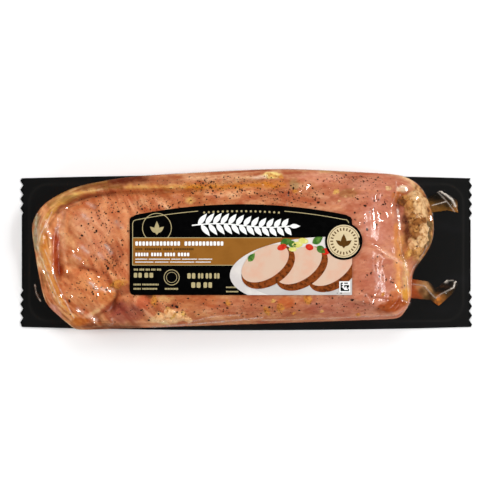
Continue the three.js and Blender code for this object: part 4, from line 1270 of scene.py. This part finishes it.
def add_label():
    black = plain_material("black label stock", (3, 3, 3), (7, 7, 7), 0.45, 300, 0.6, 0.05)
    gold = ink("gold", (142, 92, 36), (130, 82, 30), 120)
    pale_gold = ink("pale gold", (176, 162, 120), (160, 146, 106))
    white = ink("white", (240, 240, 238), (226, 226, 222))
    brown = ink("brown", (84, 54, 20), (72, 44, 16))
    beige = ink("beige", (210, 192, 154), (198, 178, 140), 150)
    china = ink("china white", (218, 212, 206), (196, 190, 188), 60, 0.8)
    well = ink("plate well", (196, 190, 186), (176, 170, 168), 60)
    roast = ink("roast", (208, 178, 156), (212, 166, 142), 90, 0.9)
    crust = ink("crust", (130, 64, 26), (72, 34, 12), 420, 0.9)
    green = ink("leaf", (56, 98, 38), (104, 140, 62), 300, 0.8)
    red = ink("red", (190, 32, 22), (216, 84, 56), 300)
    yellow = ink("yellow", (206, 200, 104), (226, 220, 154), 300, 0.8)

    stock = bmesh.new()
    flat_shape(stock, label_outline())
    drape(stock, 0)
    skirt = bmesh.ops.extrude_face_region(stock, geom=stock.faces[:])
    low = [v for v in skirt["geom"] if isinstance(v, bmesh.types.BMVert)]
    bmesh.ops.translate(stock, verts=low, vec=(0, 0, -LABEL_THICKNESS))
    bmesh.ops.recalc_face_normals(stock, faces=stock.faces[:])
    add_object("label_stock", stock, black, "label")

    print_piece("print_band", 1, gold, [bar(2, 19.6, 141, 37.6)])
    line = 0.45
    frame_left = [(2, 20), (2, 47), (2.6, 48.6), (4, 49.3)] + [(u, arch_v(u) - 3.4) for u in np.linspace(6, 45, 12)]
    frame_right = [(u, arch_v(u) - 3.4) for u in np.linspace(101.6, 140, 12)] + [(142.4, 49.4), (143.6, 48), (144, 44.6)]
    badge, emblem = (18, 44.1), (27.7, 11.6)
    dots = [oval((u, arch_v(u) - 4.6), 0.7, 0.7, steps=12) for u in np.linspace(49, 98, 17)]
    fine_print = (words(2.8, 16, 17.4, [3, 3.4, 3, 3, 3], 0.7) + words(2.8, 11.4, 14.6, [6, 6.6], 1)
                  + words(2.6, 6.3, 7.5, [5, 11], 0.8) + words(2.6, 3.5, 4.7, [5, 10], 0.8)
                  + words(38, 10.8, 14.4, [6, 4, 4.6, 4], 1) + words(40.6, 4.8, 8.4, [7, 6.4], 1)
                  + words(63.4, 4.6, 5.6, [7.6], 1) + words(63.4, 1.8, 2.8, [8.2], 1) + words(23.2, 3.5, 4.7, [9], 1))
    sprig_badge = [leaf((18, 39.5), 9, 1.7, 90), leaf((18, 41), 6, 1.4, 40), leaf((18, 41), 6, 1.4, 140)]
    print_piece("print_lines", 2, pale_gold, fine_print + dots + sprig_badge,
                [(frame_left, line), (frame_right, line), (arc(badge, 9.5, -42.5, 222.5, 48), line),
                 (arc(emblem, 5, 0, 360, 40), line), (arc(emblem, 3.4, 0, 360, 30), 0.3),
                 ([(2, 37.6), (100, 37.6)], 0.4), ([(2, 19.6), (68, 19.6)], 0.4), ([(2, 19.6), (2, 37.6)], 0.5)])

    stem = [(u, 45.6 + 1.2 * math.sin((u - 40) / 11)) for u in np.linspace(41, 107, 40)]
    leaves = [leaf((105, 45.2), 7, 1.5, 0)]
    for i, u in enumerate(np.linspace(45, 100, 12)):
        v = 45.6 + 1.2 * math.sin((u - 40) / 11)
        leaves += [leaf((u + 2 * k, v), 9.4 - 0.22 * i, 1.7, turn) for k, turn in ((0, 52), (1, -52))]
    headline = words(3.8, 32.4, 35.2, [30, 26], 2.4) + words(3.8, 25.5, 27.8, [9, 7.4, 7.4, 8], 1.4)
    small = words(3.8, 23.2, 23.9, [8, 14, 6, 10, 9], 0.9) + words(3.8, 21.3, 22, [12, 9, 16, 10], 0.9)
    print_piece("print_white", 3, white, leaves + headline + small, [(stem, 0.8)])
    print_piece("print_brown", 3, brown, words(3.8, 29.4, 30.8, [5, 11, 6, 13], 1.2))

    print_piece("print_plate", 4, china, [oval((123.8, 15.6), 58, 22.4, 3, 80)], trimmed=True)
    print_piece("print_plate_well", 5, well, [oval((126, 13.4), 49, 16.6, 3, 70)], trimmed=True)
    slices = [((91, 18.6), 19.2, 12.2, 32), ((113, 17.4), 19, 12, 34), ((134, 16.6), 19, 12, 36)]
    for i, (middle, long, wide, turn) in enumerate(reversed(slices)):
        inner = (middle[0] - 2, middle[1] + 2.2)
        print_piece(f"print_crust_{i}", 6 + 2 * i, crust, [oval(middle, long, wide, turn, 60)], trimmed=True)
        print_piece(f"print_slice_{i}", 7 + 2 * i, roast, [oval(inner, long - 2, wide - 2.2, turn, 60)], trimmed=True)
    print_piece("print_leaves", 12, green, [leaf((99, 33.6), 8, 2.4, 20), leaf((104, 35), 7, 2.2, -30),
                                            leaf((120, 34), 8, 2.4, 30), leaf((123, 32), 7, 2.4, -40),
                                            leaf((78, 22), 7, 2, 52)])
    print_piece("print_tomatoes", 12, red, [oval((100, 31.4), 3.2, 2, 20), oval((118, 31.4), 2.6, 2, -20),
                                            oval((128.6, 28.6), 2.8, 2.2, 10)])
    print_piece("print_onions", 12, yellow, [oval((110, 33), 3.6, 2, 10), oval((114, 35.6), 3.2, 1.8, -10),
                                             oval((107, 30), 2.6, 1.4, 0)])

    lobe = (LOBE_MIDDLE[0] - LABEL_LEFT, LOBE_MIDDLE[1] - LABEL_BOTTOM)
    print_piece("print_disc_edge", 14, black, [oval(lobe, LOBE_RADIUS - 0.02, LOBE_RADIUS - 0.02, 0, 80)])
    print_piece("print_disc", 15, beige, [oval(lobe, 10.8, 10.8, 0, 64)])
    ticks = [([arc(lobe, 7, a, a, 1)[0], arc(lobe, 8.8, a, a, 1)[0]], 0.8) for a in range(0, 360, 15)]
    tick_leaf = [leaf((lobe[0], lobe[1] - 4.6), 9.4, 2, 90), leaf((lobe[0], lobe[1] - 3), 6.4, 1.5, 35),
                 leaf((lobe[0], lobe[1] - 3), 6.4, 1.5, 145)]
    print_piece("print_disc_marks", 16, brown, tick_leaf, ticks + [(arc(lobe, 9.9, 0, 360, 60), 0.3)])

    print_piece("print_code_ground", 14, white, [bar(137.6, 1.8, 144.8, 9)])
    rand = random.Random(3)
    cells = [bar(138.4 + i * 0.8, 2.6 + j * 0.8, 139.2 + i * 0.8, 3.4 + j * 0.8)
             for i in range(7) for j in range(7) if rand.random() < 0.5 or i == 0 or j == 0]
    print_piece("print_code", 15, black, cells)


add_stage()
add_camera()
light_scene()
clear_film = film_material()
glinting = glint_flats()
add_fillet()
add_lumps()
add_pepper()
add_film("film_left", 240, -1, -0.36, clear_film, glinting)
add_film("film_middle", 180, -0.36, 0.36, clear_film, glinting)
add_film("film_right", 240, 0.36, 1, clear_film, glinting)
add_tents(clear_film)
add_label()
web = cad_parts["backing_web"]
web.data.materials.clear()
web.data.materials.append(web_material())
